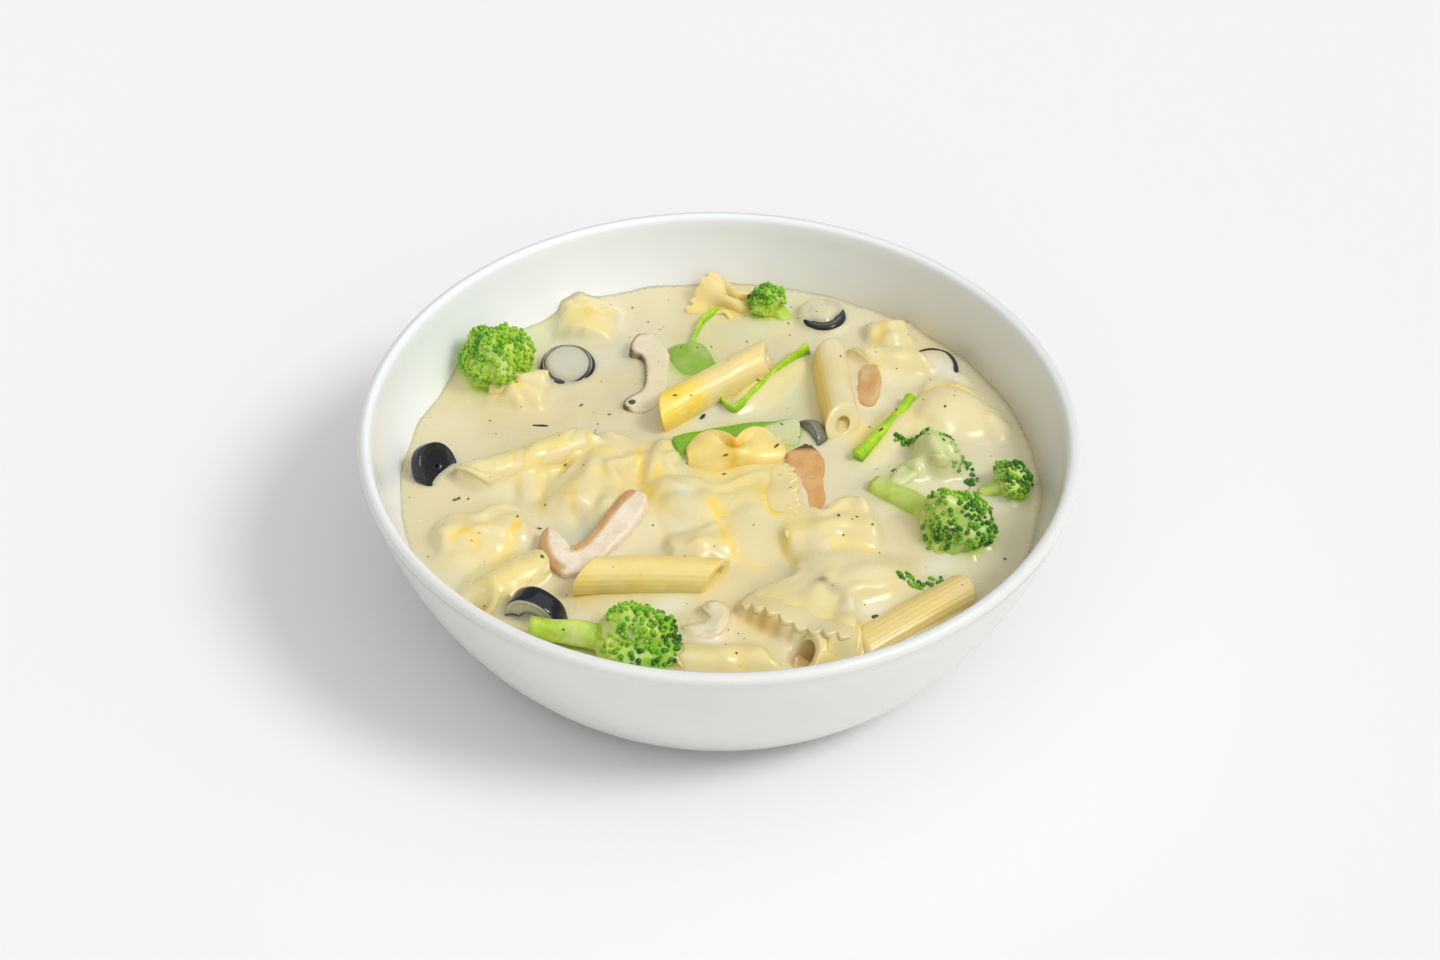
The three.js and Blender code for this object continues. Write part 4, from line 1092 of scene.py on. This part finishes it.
def sauce_mesh():
    """The sauce as one closed body: the poured surface, and the wall and floor of the bowl below it."""
    pour = settings().sauce
    bm = bmesh.new()
    edge = inner_radius(pour.edge_level / MM)
    half = edge + 1
    bmesh.ops.create_grid(bm, x_segments=pour.cells, y_segments=pour.cells, size=half)
    reach = edge - 0.35 * 2 * half / pour.cells
    bmesh.ops.delete(bm, geom=[v for v in bm.verts if v.co.xy.length > reach], context="VERTS")
    x = np.array([v.co.x for v in bm.verts])
    y = np.array([v.co.y for v in bm.verts])
    heights = sample(Poured.heights, x, y)
    for v, z in zip(bm.verts, heights):
        away = edge - v.co.xy.length
        v.co.z = z + pour.meniscus / MM * math.exp(-away / 0.9)
        if v.is_boundary:
            scale = (inner_radius(v.co.z) + 0.9) / v.co.xy.length
            v.co.x *= scale
            v.co.y *= scale
    rim = [e for e in bm.edges if e.is_boundary]
    for z in (35, 28, 20, 13, 9, 7.4, 6.6):
        grown = bmesh.ops.extrude_edge_only(bm, edges=rim)["geom"]
        rim = [g for g in grown if isinstance(g, bmesh.types.BMEdge)]
        for v in (g for g in grown if isinstance(g, bmesh.types.BMVert)):
            v.co.xy = v.co.xy.normalized() * (inner_radius(z) + 0.4)
            v.co.z = z
    bmesh.ops.holes_fill(bm, edges=rim, sides=0)
    bmesh.ops.recalc_face_normals(bm, faces=bm.faces)
    return bm


def end_faces(own, piece):
    """How near places on a penne lie to its cut ends, from 0 to 1."""
    away = piece["length"] / 2 - np.abs(own[:, 0] - PENNE_SLANT * own[:, 2])
    return np.clip(1.2 - away / 0.9, 0, 1)


def coat_food(made, piece):
    """Stores how much sauce lies on each vertex of a piece, and how much painted shade it takes in hollows,
    creases and on a shaded side.
    """
    mesh = made.data
    co = vertex_places(mesh)
    above = np.clip(co[:, 2] - sample(Poured.heights, co[:, 0], co[:, 1]), 0, None)
    patch = np.array([noise.noise(Vector(p) / 6) + 0.5 * noise.noise(Vector(p) / 2.2) for p in co])
    normals = np.empty(len(mesh.vertices) * 3, np.float32)
    mesh.vertex_normals.foreach_get("vector", normals)
    facing = np.clip(normals.reshape(-1, 3)[:, 2], 0, 1)
    back = np.array(place_matrix(piece).inverted())
    own = co @ back[:3, :3].T + back[:3, 3]
    keep = np.maximum(bare_fade(piece, own[:, 0]), piece.get("least", 0))
    uneven = piece.get("patch", 0.13) * patch * (1 - piece["coat"] * 0.4)
    film = piece["coat"] * keep * (0.8 + 0.35 * facing) + uneven
    if "face" in piece:
        inside = piece.get("radius", OLIVE_RADIUS) - piece.get("rim", 0.8) - np.hypot(own[:, 0], own[:, 1])
        axis = np.abs(normals.reshape(-1, 3) @ back[2, :3])
        flat = piece["face"] * np.clip(axis * 2 - 0.6, 0, 1) * np.clip(inside / 0.4 + 0.5, 0, 1)
        film = np.maximum(film, flat)
    if "ends" in piece:
        film = np.maximum(film, piece["ends"] * end_faces(own, piece))
    # Painted shade: along a crease, or on a side that faces the given way, less sauce shows and the pasta
    # takes its shaded colour
    fold = np.zeros(len(co))
    if "crease" in piece:
        middle, width = piece["crease"]
        fold = np.exp(-((own[:, 0] - middle - 0.12 * own[:, 1]) / width) ** 2) * (0.6 if width > 20 else 1)
    if "shade" in piece:
        fold = np.maximum(fold, np.clip(normals.reshape(-1, 3)[:, :2] @ np.array(piece["shade"]), 0, 1))
    film = film * (1 - 0.8 * fold)
    shown = 0.0
    if "clear" in piece:
        start, across, slope = piece["clear"]
        shown = np.clip((own[:, 1] - across - slope * (own[:, 0] - start)) / 1.6 + 0.5, 0, 1)
        film = film * (1 - 0.95 * shown)
    if "bud" in mesh.attributes:
        bud = np.empty(len(mesh.vertices), np.float32)
        mesh.attributes["bud"].data.foreach_get("value", bud)
        on_stem = np.clip((-own[:, 0] - 0.3 * piece["crown"]) / 2, 0, 1)
        film = film * (1 - 0.8 * bud) + (1 - bud) * (0.3 + 0.1 * on_stem) * np.clip(patch + 0.2, 0, 1)
        if "bald" in piece:
            covered = 1.4 * (co - piece["at"]) @ np.array(piece["bald"]) / piece["crown"]
            film = np.maximum(film, np.clip(covered, 0, 0.9))
    dry = 1 - np.exp(-above / 0.9)
    low = 0.8 * piece["coat"] * (1 - 0.9 * shown)
    store(mesh, "film", low + (np.clip(film, 0, 1) - low) * dry)
    store(mesh, "hollow", np.maximum(sample(Poured.hollow, co[:, 0], co[:, 1]), fold))


# Materials


class Tree:
    """Adds nodes to a material or a group, and joins them by the names of their sockets."""

    def __init__(self, tree):
        self.tree = tree

    def add(self, kind, inputs=None, **options):
        made = self.tree.nodes.new("ShaderNode" + kind)
        for name, value in options.items():
            setattr(made, name, value)
        for name, value in (inputs or {}).items():
            self.feed(made.inputs[name], value)
        return made

    def feed(self, socket, value):
        if isinstance(value, bpy.types.NodeSocket):
            self.tree.links.new(value, socket)
        elif hasattr(value, "__len__") and len(value) == 3 and socket.type == "RGBA":
            socket.default_value = (*value, 1)
        else:
            socket.default_value = value

    def mix(self, factor, a, b, blend="MIX"):
        return self.add("Mix", {0: factor, 6: a, 7: b}, data_type="RGBA", blend_type=blend).outputs[2]

    def math(self, operation, a, b=0.0):
        return self.add("Math", {0: a, 1: b}, operation=operation).outputs[0]

    def ramp(self, value, low, high, out_low=0.0, out_high=1.0):
        inputs = {"Value": value, "From Min": low, "From Max": high, "To Min": out_low, "To Max": out_high}
        return self.add("MapRange", inputs, interpolation_type="SMOOTHSTEP").outputs[0]

    def noise(self, scale, detail=2.0, roughness=0.5):
        place = self.add("TexCoord").outputs["Object"]
        inputs = {"Vector": place, "Scale": scale, "Detail": detail, "Roughness": roughness}
        return self.add("TexNoise", inputs).outputs["Fac"]

    def attribute(self, name, output="Fac"):
        return self.add("Attribute", attribute_name=name).outputs[output]

    def bump(self, height, strength, distance):
        inputs = {"Height": height, "Strength": strength, "Distance": distance}
        return self.add("Bump", inputs).outputs["Normal"]


def new_group(name, inputs, outputs):
    """A shader group with named sockets, made once."""
    group = bpy.data.node_groups.new(name, "ShaderNodeTree")
    for title, kind, default in inputs:
        socket = group.interface.new_socket(title, in_out="INPUT", socket_type="NodeSocket" + kind)
        socket.default_value = (*default, 1) if kind == "Color" else default
    for title, kind in outputs:
        group.interface.new_socket(title, in_out="OUTPUT", socket_type="NodeSocket" + kind)
    given, result = group.nodes.new("NodeGroupInput"), group.nodes.new("NodeGroupOutput")
    return group, Tree(group), given.outputs, result.inputs


def cream_group():
    """The sauce's colour and soft swirls, used by the sauce and by every film of it."""
    if "Cream" in bpy.data.node_groups:
        return bpy.data.node_groups["Cream"]
    inputs = [("Cream", "Color", tuple(settings().colours.cream))]
    group, tree, given, result = new_group("Cream", inputs, [("Color", "Color"), ("Height", "Float")])
    swirl = tree.noise(34, 1)
    warm = tree.mix(1.0, given["Cream"], (1.0, 0.955, 0.83), "MULTIPLY")
    colour = tree.mix(tree.ramp(swirl, 0.38, 0.66), given["Cream"], warm)
    tree.feed(result["Color"], colour)
    tree.feed(result["Height"], tree.noise(150, 1))
    return group


def film_group():
    """Lays a film of cream over a colour."""
    if "Film" in bpy.data.node_groups:
        return bpy.data.node_groups["Film"]
    inputs = [("Color", "Color", (1, 1, 1)), ("Film", "Float", 0.0), ("Cover", "Float", 1.0)]
    group, tree, given, result = new_group("Film", inputs, [("Color", "Color"), ("Mask", "Float")])
    cream = tree.tree.nodes.new("ShaderNodeGroup")
    cream.node_tree = cream_group()
    grain = tree.noise(900, 3)
    amount = tree.math("ADD", given["Film"], tree.ramp(grain, 0.3, 0.7, -0.02, 0.02))
    mask = tree.math("MULTIPLY", tree.ramp(amount, 0.02, 0.98), given["Cover"])
    tree.feed(result["Color"], tree.mix(mask, given["Color"], cream.outputs["Color"]))
    tree.feed(result["Mask"], mask)
    return group


def mottle_group():
    """Two colours in soft patches, with a fine grain as height."""
    if "Mottle" in bpy.data.node_groups:
        return bpy.data.node_groups["Mottle"]
    inputs = [("Color A", "Color", (1, 1, 1)), ("Color B", "Color", (0, 0, 0)), ("Scale", "Float", 100.0)]
    group, tree, given, result = new_group("Mottle", inputs, [("Color", "Color"), ("Height", "Float")])
    patch = tree.noise(given["Scale"], 4, 0.6)
    grain = tree.noise(tree.math("MULTIPLY", given["Scale"], 4.0), 1)
    tree.feed(result["Color"], tree.mix(tree.ramp(patch, 0.36, 0.66), given["Color A"], given["Color B"]))
    tree.feed(result["Height"], grain)
    return group


def new_material(name):
    """A material with its Principled shader."""
    material = bpy.data.materials.new(name)
    material.use_nodes = True
    material.node_tree.nodes.clear()
    tree = Tree(material.node_tree)
    shader = tree.add("BsdfPrincipled")
    output = tree.add("OutputMaterial", {"Surface": shader.outputs["BSDF"]})
    output.location.x = 300
    return material, tree, shader


def use_group(tree, group, inputs):
    """The outputs of a group that is fed with inputs."""
    made = tree.tree.nodes.new("ShaderNodeGroup")
    made.node_tree = group
    for name, value in inputs.items():
        tree.feed(made.inputs[name], value)
    return made.outputs


def mottled(tree, first, second, scale):
    """Soft patches of two colours, as Color and Height."""
    return use_group(tree, mottle_group(), {"Color A": first, "Color B": second, "Scale": scale})


def filmed(tree, colour, cover, film=None):
    """Sauce over a colour, as Color and Mask. Cover is the most that it hides."""
    film = tree.attribute("film") if film is None else film
    return use_group(tree, film_group(), {"Color": colour, "Film": film, "Cover": cover})


def dress(tree, shader, colour, roughness, bump):
    """Gives a shader its colour, a roughness that ramps with a value, and a bump."""
    tree.feed(shader.inputs["Base Color"], colour)
    tree.feed(shader.inputs["Roughness"], tree.ramp(*roughness))
    tree.feed(shader.inputs["Normal"], tree.bump(*bump))


def set_flesh(shader, scale, radius, weight):
    """Light that soaks into soft food. Scale is in millimetres."""
    shader.inputs["Subsurface Weight"].default_value = weight
    shader.inputs["Subsurface Radius"].default_value = radius
    shader.inputs["Subsurface Scale"].default_value = scale * MM


def pasta_material():
    colours = settings().colours
    material, tree, shader = new_material("Boiled pasta")
    pale = tree.mix(0.3, colours.pasta, tone(250, 236, 178))
    mottle = mottled(tree, colours.pasta, pale, 130.0)
    # Painted shade: the pasta turns to its shaded colour in hollows, creases and on shaded sides
    hollow = tree.math("MULTIPLY", tree.attribute("hollow"), 0.85)
    shade_in_folds = tree.mix(hollow, mottle["Color"], colours.pasta_shaded)
    film = filmed(tree, shade_in_folds, 0.86)
    dress(tree, shader, film["Color"], (film["Mask"], 0, 1, 0.32, 0.24), (mottle["Height"], 0.15, 0.0002))
    set_flesh(shader, scale=1.6, radius=(1.0, 0.85, 0.5), weight=0.25)
    return material


def sauce_material():
    material, tree, shader = new_material("White sauce")
    cream = use_group(tree, cream_group(), {})
    shown = tree.mix(tree.attribute("thin"), cream["Color"], tree.attribute("under", "Color"))
    dress(tree, shader, shown, (cream["Height"], 0.3, 0.7, 0.2, 0.28), (cream["Height"], 0.2, 0.0004))
    set_flesh(shader, scale=3.0, radius=(1.0, 0.85, 0.6), weight=0.35)
    return material


def broccoli_material():
    colours = settings().colours
    material, tree, shader = new_material("Broccoli")
    green = tree.attribute("green")
    dark = mottled(tree, colours.bud, tone(46, 114, 24), 260.0)
    flesh = mottled(tree, colours.flesh, tone(204, 222, 96), 200.0)
    middle = tree.mix(tree.ramp(green, 0.05, 0.5), flesh["Color"], tone(118, 184, 20))
    shown = tree.mix(tree.ramp(green, 0.45, 0.9), middle, dark["Color"])
    film = filmed(tree, shown, 0.8)
    dress(tree, shader, film["Color"], (dark["Height"], 0.3, 0.7, 0.34, 0.5), (dark["Height"], 0.3, 0.0002))
    set_flesh(shader, scale=1.2, radius=(0.6, 1.0, 0.3), weight=0.2)
    return material


def olive_material():
    colours = settings().colours
    material, tree, shader = new_material("Black olive")
    skin = mottled(tree, colours.olive, tone(22, 27, 36), 220.0)
    film = filmed(tree, skin["Color"], 0.85)
    milky = tree.mix(tree.math("MULTIPLY", film["Mask"], 0.7), film["Color"], tone(198, 203, 190))
    dress(tree, shader, milky, (film["Mask"], 0, 1, 0.12, 0.3), (skin["Height"], 0.3, 0.0002))
    return material


def mushroom_material():
    colours = settings().colours
    material, tree, shader = new_material("Mushroom")
    flesh = mottled(tree, colours.mushroom, tone(246, 238, 220), 240.0)
    edge = mottled(tree, colours.gill, tone(214, 172, 112), 150.0)
    light = tree.mix(tree.attribute("edge"), flesh["Color"], edge["Color"])
    shown = tree.mix(tree.attribute("dark"), light, tone(92, 66, 52))
    bare = tree.math("SUBTRACT", 1.0, tree.math("MULTIPLY", tree.attribute("dark"), 0.85))
    film_left = tree.math("MULTIPLY", tree.attribute("film"), bare)
    film = filmed(tree, shown, 0.85, film_left)
    grain = flesh["Height"]
    dress(tree, shader, film["Color"], (grain, 0.3, 0.7, 0.26, 0.42), (grain, 0.4, 0.0003))
    set_flesh(shader, scale=1.5, radius=(1.0, 0.85, 0.65), weight=0.06)
    return material


def pepper_material():
    colours = settings().colours
    material, tree, shader = new_material("Green pepper")
    cut = mottled(tree, colours.pepper, tone(180, 218, 48), 220.0)
    shown = tree.mix(tree.attribute("skin"), cut["Color"], colours.pepper_skin)
    film = filmed(tree, shown, 0.82)
    dress(tree, shader, film["Color"], (cut["Height"], 0.3, 0.7, 0.2, 0.34), (cut["Height"], 0.2, 0.0002))
    set_flesh(shader, scale=1.8, radius=(0.8, 1.0, 0.3), weight=0.3)
    return material


def glaze_material():
    material, tree, shader = new_material("White glaze")
    glaze = tuple(settings().colours.glaze)
    cloud = tree.noise(22, 3)
    # Painted light: the outside is a darker white, as painted shade, and the inside a whiter, bluer white
    # against the sauce's warm bounce light
    sides = tree.mix(tree.attribute("inner"), tone(229, 229, 225), glaze)
    # Painted shade, warmed as by light bounced from the sauce, on the right of the inside wall
    sides = tree.mix(tree.attribute("smear"), sides, tone(196, 182, 134))
    shown = tree.mix(tree.ramp(cloud, 0.35, 0.65, 0, 0.025), sides, (0, 0, 0))
    dress(tree, shader, shown, (tree.noise(160, 2), 0.3, 0.7, 0.2, 0.27), (tree.noise(60, 2), 0.05, 0.0006))
    shader.inputs["Coat Weight"].default_value = 0.25
    shader.inputs["Coat Roughness"].default_value = 0.1
    return material


def speck_material():
    material, tree, shader = new_material("Herb specks")
    shown = tree.mix(tree.attribute("brown"), tone(52, 66, 28), tone(74, 52, 34))
    varied = tree.mix(tree.ramp(tree.noise(700, 2), 0.35, 0.65), shown, tone(98, 116, 52))
    varied = tree.mix(tree.ramp(tree.attribute("brown"), 1.3, 1.8), varied, tone(26, 28, 26))
    tree.feed(shader.inputs["Base Color"], varied)
    tree.feed(shader.inputs["Roughness"], tree.ramp(tree.noise(2500, 1), 0.3, 0.7, 0.4, 0.6))
    return material


def floor_material():
    material, tree, shader = new_material("Pale floor")
    ground = tree.mix(tree.noise(3, 2), tone(238, 238, 238), tone(240, 240, 240))
    tree.feed(shader.inputs["Base Color"], ground)
    shader.inputs["Roughness"].default_value = 0.9
    shader.inputs["Specular IOR Level"].default_value = 0.1
    return material


# Operators, one for each piece or group of like pieces


class PASTA_OT_bowl(bpy.types.Operator):
    """Spin the bowl from its profile"""

    bl_idname = "pasta_bowl.bowl"
    bl_label = "Bowl"

    def execute(self, context):
        shape = settings().bowl
        bm = bmesh.new()
        line = [bm.verts.new((r, 0, z)) for r, z in bowl_profile(shape)]
        edges = [bm.edges.new(pair) for pair in zip(line, line[1:])]
        bmesh.ops.spin(
            bm, geom=line + edges, cent=(0, 0, 0), axis=(0, 0, 1), dvec=(0, 0, 0), angle=2 * math.pi,
            steps=shape.steps, use_merge=True,
        )
        bmesh.ops.remove_doubles(bm, verts=bm.verts, dist=0.001)
        bmesh.ops.recalc_face_normals(bm, faces=bm.faces)
        made = add_object(bm, "bowl" + FINE, glaze_material())
        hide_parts("bowl")
        co = vertex_places(made.data)
        reach = np.hypot(co[:, 0], co[:, 1])
        wall = np.array([(inner_radius(z) + outer_radius(z)) / 2 for z in co[:, 2]])
        mouth = shape.rim_radius / MM - shape.lip_radius / MM
        inner = (reach < np.minimum(wall, mouth)).astype(float)
        store(made.data, "inner", inner)
        # Painted shade, warmed as by light bounced from the sauce, on the right of the inside wall just above
        # the sauce, fading upward
        aside = np.clip(0.4 + co[:, 0] / 100, 0, 1) ** 2
        store(made.data, "smear", 0.75 * inner * aside * np.exp(-np.clip(co[:, 2] - 41, 0, None) / 8))
        return {"FINISHED"}


class PASTA_OT_penne(bpy.types.Operator):
    """Make the penne"""

    bl_idname = "pasta_bowl.penne"
    bl_label = "Penne"

    def execute(self, context):
        material = bpy.data.materials.get("Boiled pasta") or pasta_material()
        for name, piece in PENNE.items():
            add_food(penne_mesh(piece), name, material)
        return {"FINISHED"}


class PASTA_OT_farfalle(bpy.types.Operator):
    """Make the farfalle"""

    bl_idname = "pasta_bowl.farfalle"
    bl_label = "Farfalle"

    def execute(self, context):
        material = bpy.data.materials.get("Boiled pasta") or pasta_material()
        for name, piece in FARFALLE.items():
            made = add_food(farfalle_sheet(piece), name, material)
            thicken(made, PASTA_SHEET)
        return {"FINISHED"}


class PASTA_OT_broccoli(bpy.types.Operator):
    """Make the broccoli florets"""

    bl_idname = "pasta_bowl.broccoli"
    bl_label = "Broccoli"

    def execute(self, context):
        material = broccoli_material()
        for seed, (name, piece) in enumerate(BROCCOLI.items()):
            add_food(broccoli_mesh(piece, seed), name, material)
        return {"FINISHED"}


class PASTA_OT_olives(bpy.types.Operator):
    """Make the olive rings"""

    bl_idname = "pasta_bowl.olives"
    bl_label = "Olives"

    def execute(self, context):
        material = olive_material()
        for name, piece in OLIVES.items():
            add_food(olive_mesh(piece), name, material)
        return {"FINISHED"}


class PASTA_OT_mushrooms(bpy.types.Operator):
    """Make the mushroom slices"""

    bl_idname = "pasta_bowl.mushrooms"
    bl_label = "Mushrooms"

    def execute(self, context):
        material = mushroom_material()
        for name, piece in MUSHROOMS.items():
            made = add_food(mushroom_mesh(piece), name, material)
            melt(made, voxel=0.55, passes=10)
            roughen(made, size=4, depth=0.4, seed=len(name))
            back = np.array(place_matrix(piece).inverted())
            flat = (vertex_places(made.data) @ back[:3, :3].T + back[:3, 3])[:, :2]
            edge = mushroom_edge(piece, flat)
            cap = np.clip((flat[:, 1] - piece.get("cap", 50)) / 1.5, 0, 1)
            store(made.data, "edge", np.clip(piece["brown"] + edge, 0, 1))
            store(made.data, "dark", np.clip(cap + piece.get("dark", 0) * edge, 0, 1))
        return {"FINISHED"}


class PASTA_OT_peppers(bpy.types.Operator):
    """Make the cuts of green pepper"""

    bl_idname = "pasta_bowl.peppers"
    bl_label = "Green pepper"

    def execute(self, context):
        material = pepper_material()
        for name, piece in PEPPER_STRIPS.items():
            made = add_food(pepper_strip_sheet(piece), name, material)
            thicken(made, piece["width"])
            roughen(made, size=5, depth=0.3, seed=piece["width"])
            up = vertex_places(made.data)[:, 2] - piece["at"][2]
            store(made.data, "skin", np.clip((piece["height"] * 0.36 - up) / 1.5, 0, 1))
        for name, piece in PEPPER_SHEETS.items():
            made = add_food(pepper_flat_sheet(piece), name, material)
            thicken(made, piece["thickness"])
            roughen(made, size=5, depth=0.3, seed=piece["thickness"])
            store(made.data, "skin", np.full(len(made.data.vertices), 0.8))
        return {"FINISHED"}


class PASTA_OT_sauce(bpy.types.Operator):
    """Pour the sauce round the food and coat it"""

    bl_idname = "pasta_bowl.sauce"
    bl_label = "Sauce"

    def execute(self, context):
        for name in FOOD:
            keep_inside(bpy.data.objects[name + FINE])
        survey_food()
        made = add_object(sauce_mesh(), "sauce" + FINE, sauce_material())
        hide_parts("sauce")
        co = vertex_places(made.data)
        under = sample(Poured.under, co[:, 0], co[:, 1])
        store(made.data, "under", np.column_stack([under, np.ones(len(co))]), "FLOAT_COLOR")
        store(made.data, "thin", sample(Poured.thin, co[:, 0], co[:, 1]))
        for name, piece in FOOD.items():
            coat_food(bpy.data.objects[name + FINE], piece)
        return {"FINISHED"}


class PASTA_OT_specks(bpy.types.Operator):
    """Scatter herb and pepper specks"""

    bl_idname = "pasta_bowl.specks"
    bl_label = "Herb specks"

    def execute(self, context):
        draw = random.Random(11)
        bm = bmesh.new()
        brown = bm.verts.layers.float.new("brown")
        specks = list(SLIVERS)
        for _ in range(150):
            reach, around = 86 * math.sqrt(draw.random()), draw.uniform(0, 2 * math.pi)
            size = 0.16 + 0.26 * draw.random() ** 3
            long = size * draw.uniform(1, 2.4)
            spot = (reach * math.cos(around), reach * math.sin(around))
            specks.append((*spot, long, size, draw.uniform(0, 180), draw.random()))
        for x, y, long, wide, turn, dark in specks:
            place = Matrix.Translation((x, y, land_height(x, y) + 0.05))
            spin = Matrix.Rotation(math.radians(turn), 4, "Z")
            shape = Matrix.Diagonal((long, wide, min(wide, long) * 0.5, 1))
            made = bmesh.ops.create_icosphere(
                bm, subdivisions=1, radius=1, matrix=place @ spin @ shape,
            )["verts"]
            for v in made:
                v[brown] = dark
        add_object(bm, "herb_specks", speck_material())
        return {"FINISHED"}


class PASTA_OT_buds(bpy.types.Operator):
    """Lay the loose buds of broccoli on the sauce"""

    bl_idname = "pasta_bowl.buds"
    bl_label = "Loose buds"

    def execute(self, context):
        draw = random.Random(4)
        bm = bmesh.new()
        for x, y, long, wide, turn, count in BUD_ROWS:
            spin = Matrix.Rotation(math.radians(turn), 4, "Z")
            for i in range(count):
                across = math.sqrt(draw.random()) * wide * draw.choice((-1, 1))
                spot = Vector((x, y, 0)) + spin @ Vector((long * (2 * (i + 0.5) / count - 1), across, 0))
                size = draw.uniform(0.45, 0.75)
                spot.z = land_height(spot.x, spot.y) + 0.2 * size
                add_bud(bm, spot, size, draw.uniform(0.45, 1))
        add_object(bm, "loose_buds", bpy.data.materials["Broccoli"])
        return {"FINISHED"}


class PASTA_OT_stage(bpy.types.Operator):
    """Set the floor, the light and the camera"""

    bl_idname = "pasta_bowl.stage"
    bl_label = "Stage"

    def execute(self, context):
        look = settings().stage
        scene = context.scene
        bm = bmesh.new()
        bmesh.ops.create_grid(bm, x_segments=1, y_segments=1, size=6)
        mesh = bpy.data.meshes.new("floor")
        bm.to_mesh(mesh)
        bm.free()
        mesh.materials.append(floor_material())
        floor = bpy.data.objects.new("floor", mesh)
        scene.collection.objects.link(floor)

        world = bpy.data.worlds.new("Soft light")
        world.use_nodes = True
        world.node_tree.nodes["Background"].inputs["Color"].default_value = (1, 1, 1, 1)
        world.node_tree.nodes["Background"].inputs["Strength"].default_value = look.sky
        scene.world = world
        scene.view_settings.view_transform = "Standard"

        lights = (
            ("Ceiling", look.ceiling, 110, (0.2, -0.35, 1.0)),
            ("Window", look.sun, 18, (0.7, -0.32, 0.9)),
        )
        for name, strength, spread, way in lights:
            light = bpy.data.lights.new(name, "SUN")
            light.energy = strength
            light.angle = math.radians(spread)
            lamp = bpy.data.objects.new(name, light)
            lamp.rotation_euler = Vector(way).to_track_quat("Z", "Y").to_euler()
            scene.collection.objects.link(lamp)

        camera = bpy.data.cameras.new("Camera")
        camera.lens = look.lens
        camera.sensor_width = 36
        camera.clip_start = 0.05
        sight = Vector((0, math.cos(look.elevation), -math.sin(look.elevation)))
        turn = Matrix.Rotation(math.pi / 2 - look.elevation, 4, "X") @ Matrix.Rotation(look.roll, 4, "Z")
        camera_object = bpy.data.objects.new("Camera", camera)
        aim = Vector((0.0003, 0, 0.0395))
        camera_object.matrix_world = Matrix.Translation(aim - sight * look.distance) @ turn
        scene.collection.objects.link(camera_object)
        scene.camera = camera_object
        return {"FINISHED"}


OPERATORS = (
    PASTA_OT_bowl, PASTA_OT_penne, PASTA_OT_farfalle, PASTA_OT_broccoli, PASTA_OT_olives, PASTA_OT_mushrooms,
    PASTA_OT_peppers, PASTA_OT_sauce, PASTA_OT_specks, PASTA_OT_buds, PASTA_OT_stage,
)


class PASTA_PT_panel(bpy.types.Panel):
    """Lists the pieces in the order in which they are made"""

    bl_idname = "PASTA_PT_panel"
    bl_label = "Bowl of Pasta"
    bl_space_type = "VIEW_3D"
    bl_region_type = "UI"
    bl_category = "Pasta Bowl"

    def draw(self, context):
        for group in ("bowl", "sauce", "colours", "stage"):
            box = self.layout.box()
            values = getattr(settings(), group)
            for name in values.bl_rna.properties.keys():
                if name not in {"rna_type", "name"}:
                    box.prop(values, name)
        for operator in OPERATORS:
            self.layout.operator(operator.bl_idname)


CLASSES = (BowlShape, SaucePour, FoodColours, StageLook, PastaBowlSettings, *OPERATORS, PASTA_PT_panel)


def register():
    for each in CLASSES:
        bpy.utils.register_class(each)
    bpy.types.Scene.pasta_bowl = PointerProperty(type=PastaBowlSettings)


def unregister():
    del bpy.types.Scene.pasta_bowl
    for each in reversed(CLASSES):
        bpy.utils.unregister_class(each)


def main():
    register()
    for operator in OPERATORS:
        group, name = operator.bl_idname.split(".")
        getattr(getattr(bpy.ops, group), name)()


if __name__ == "__main__":
    main()
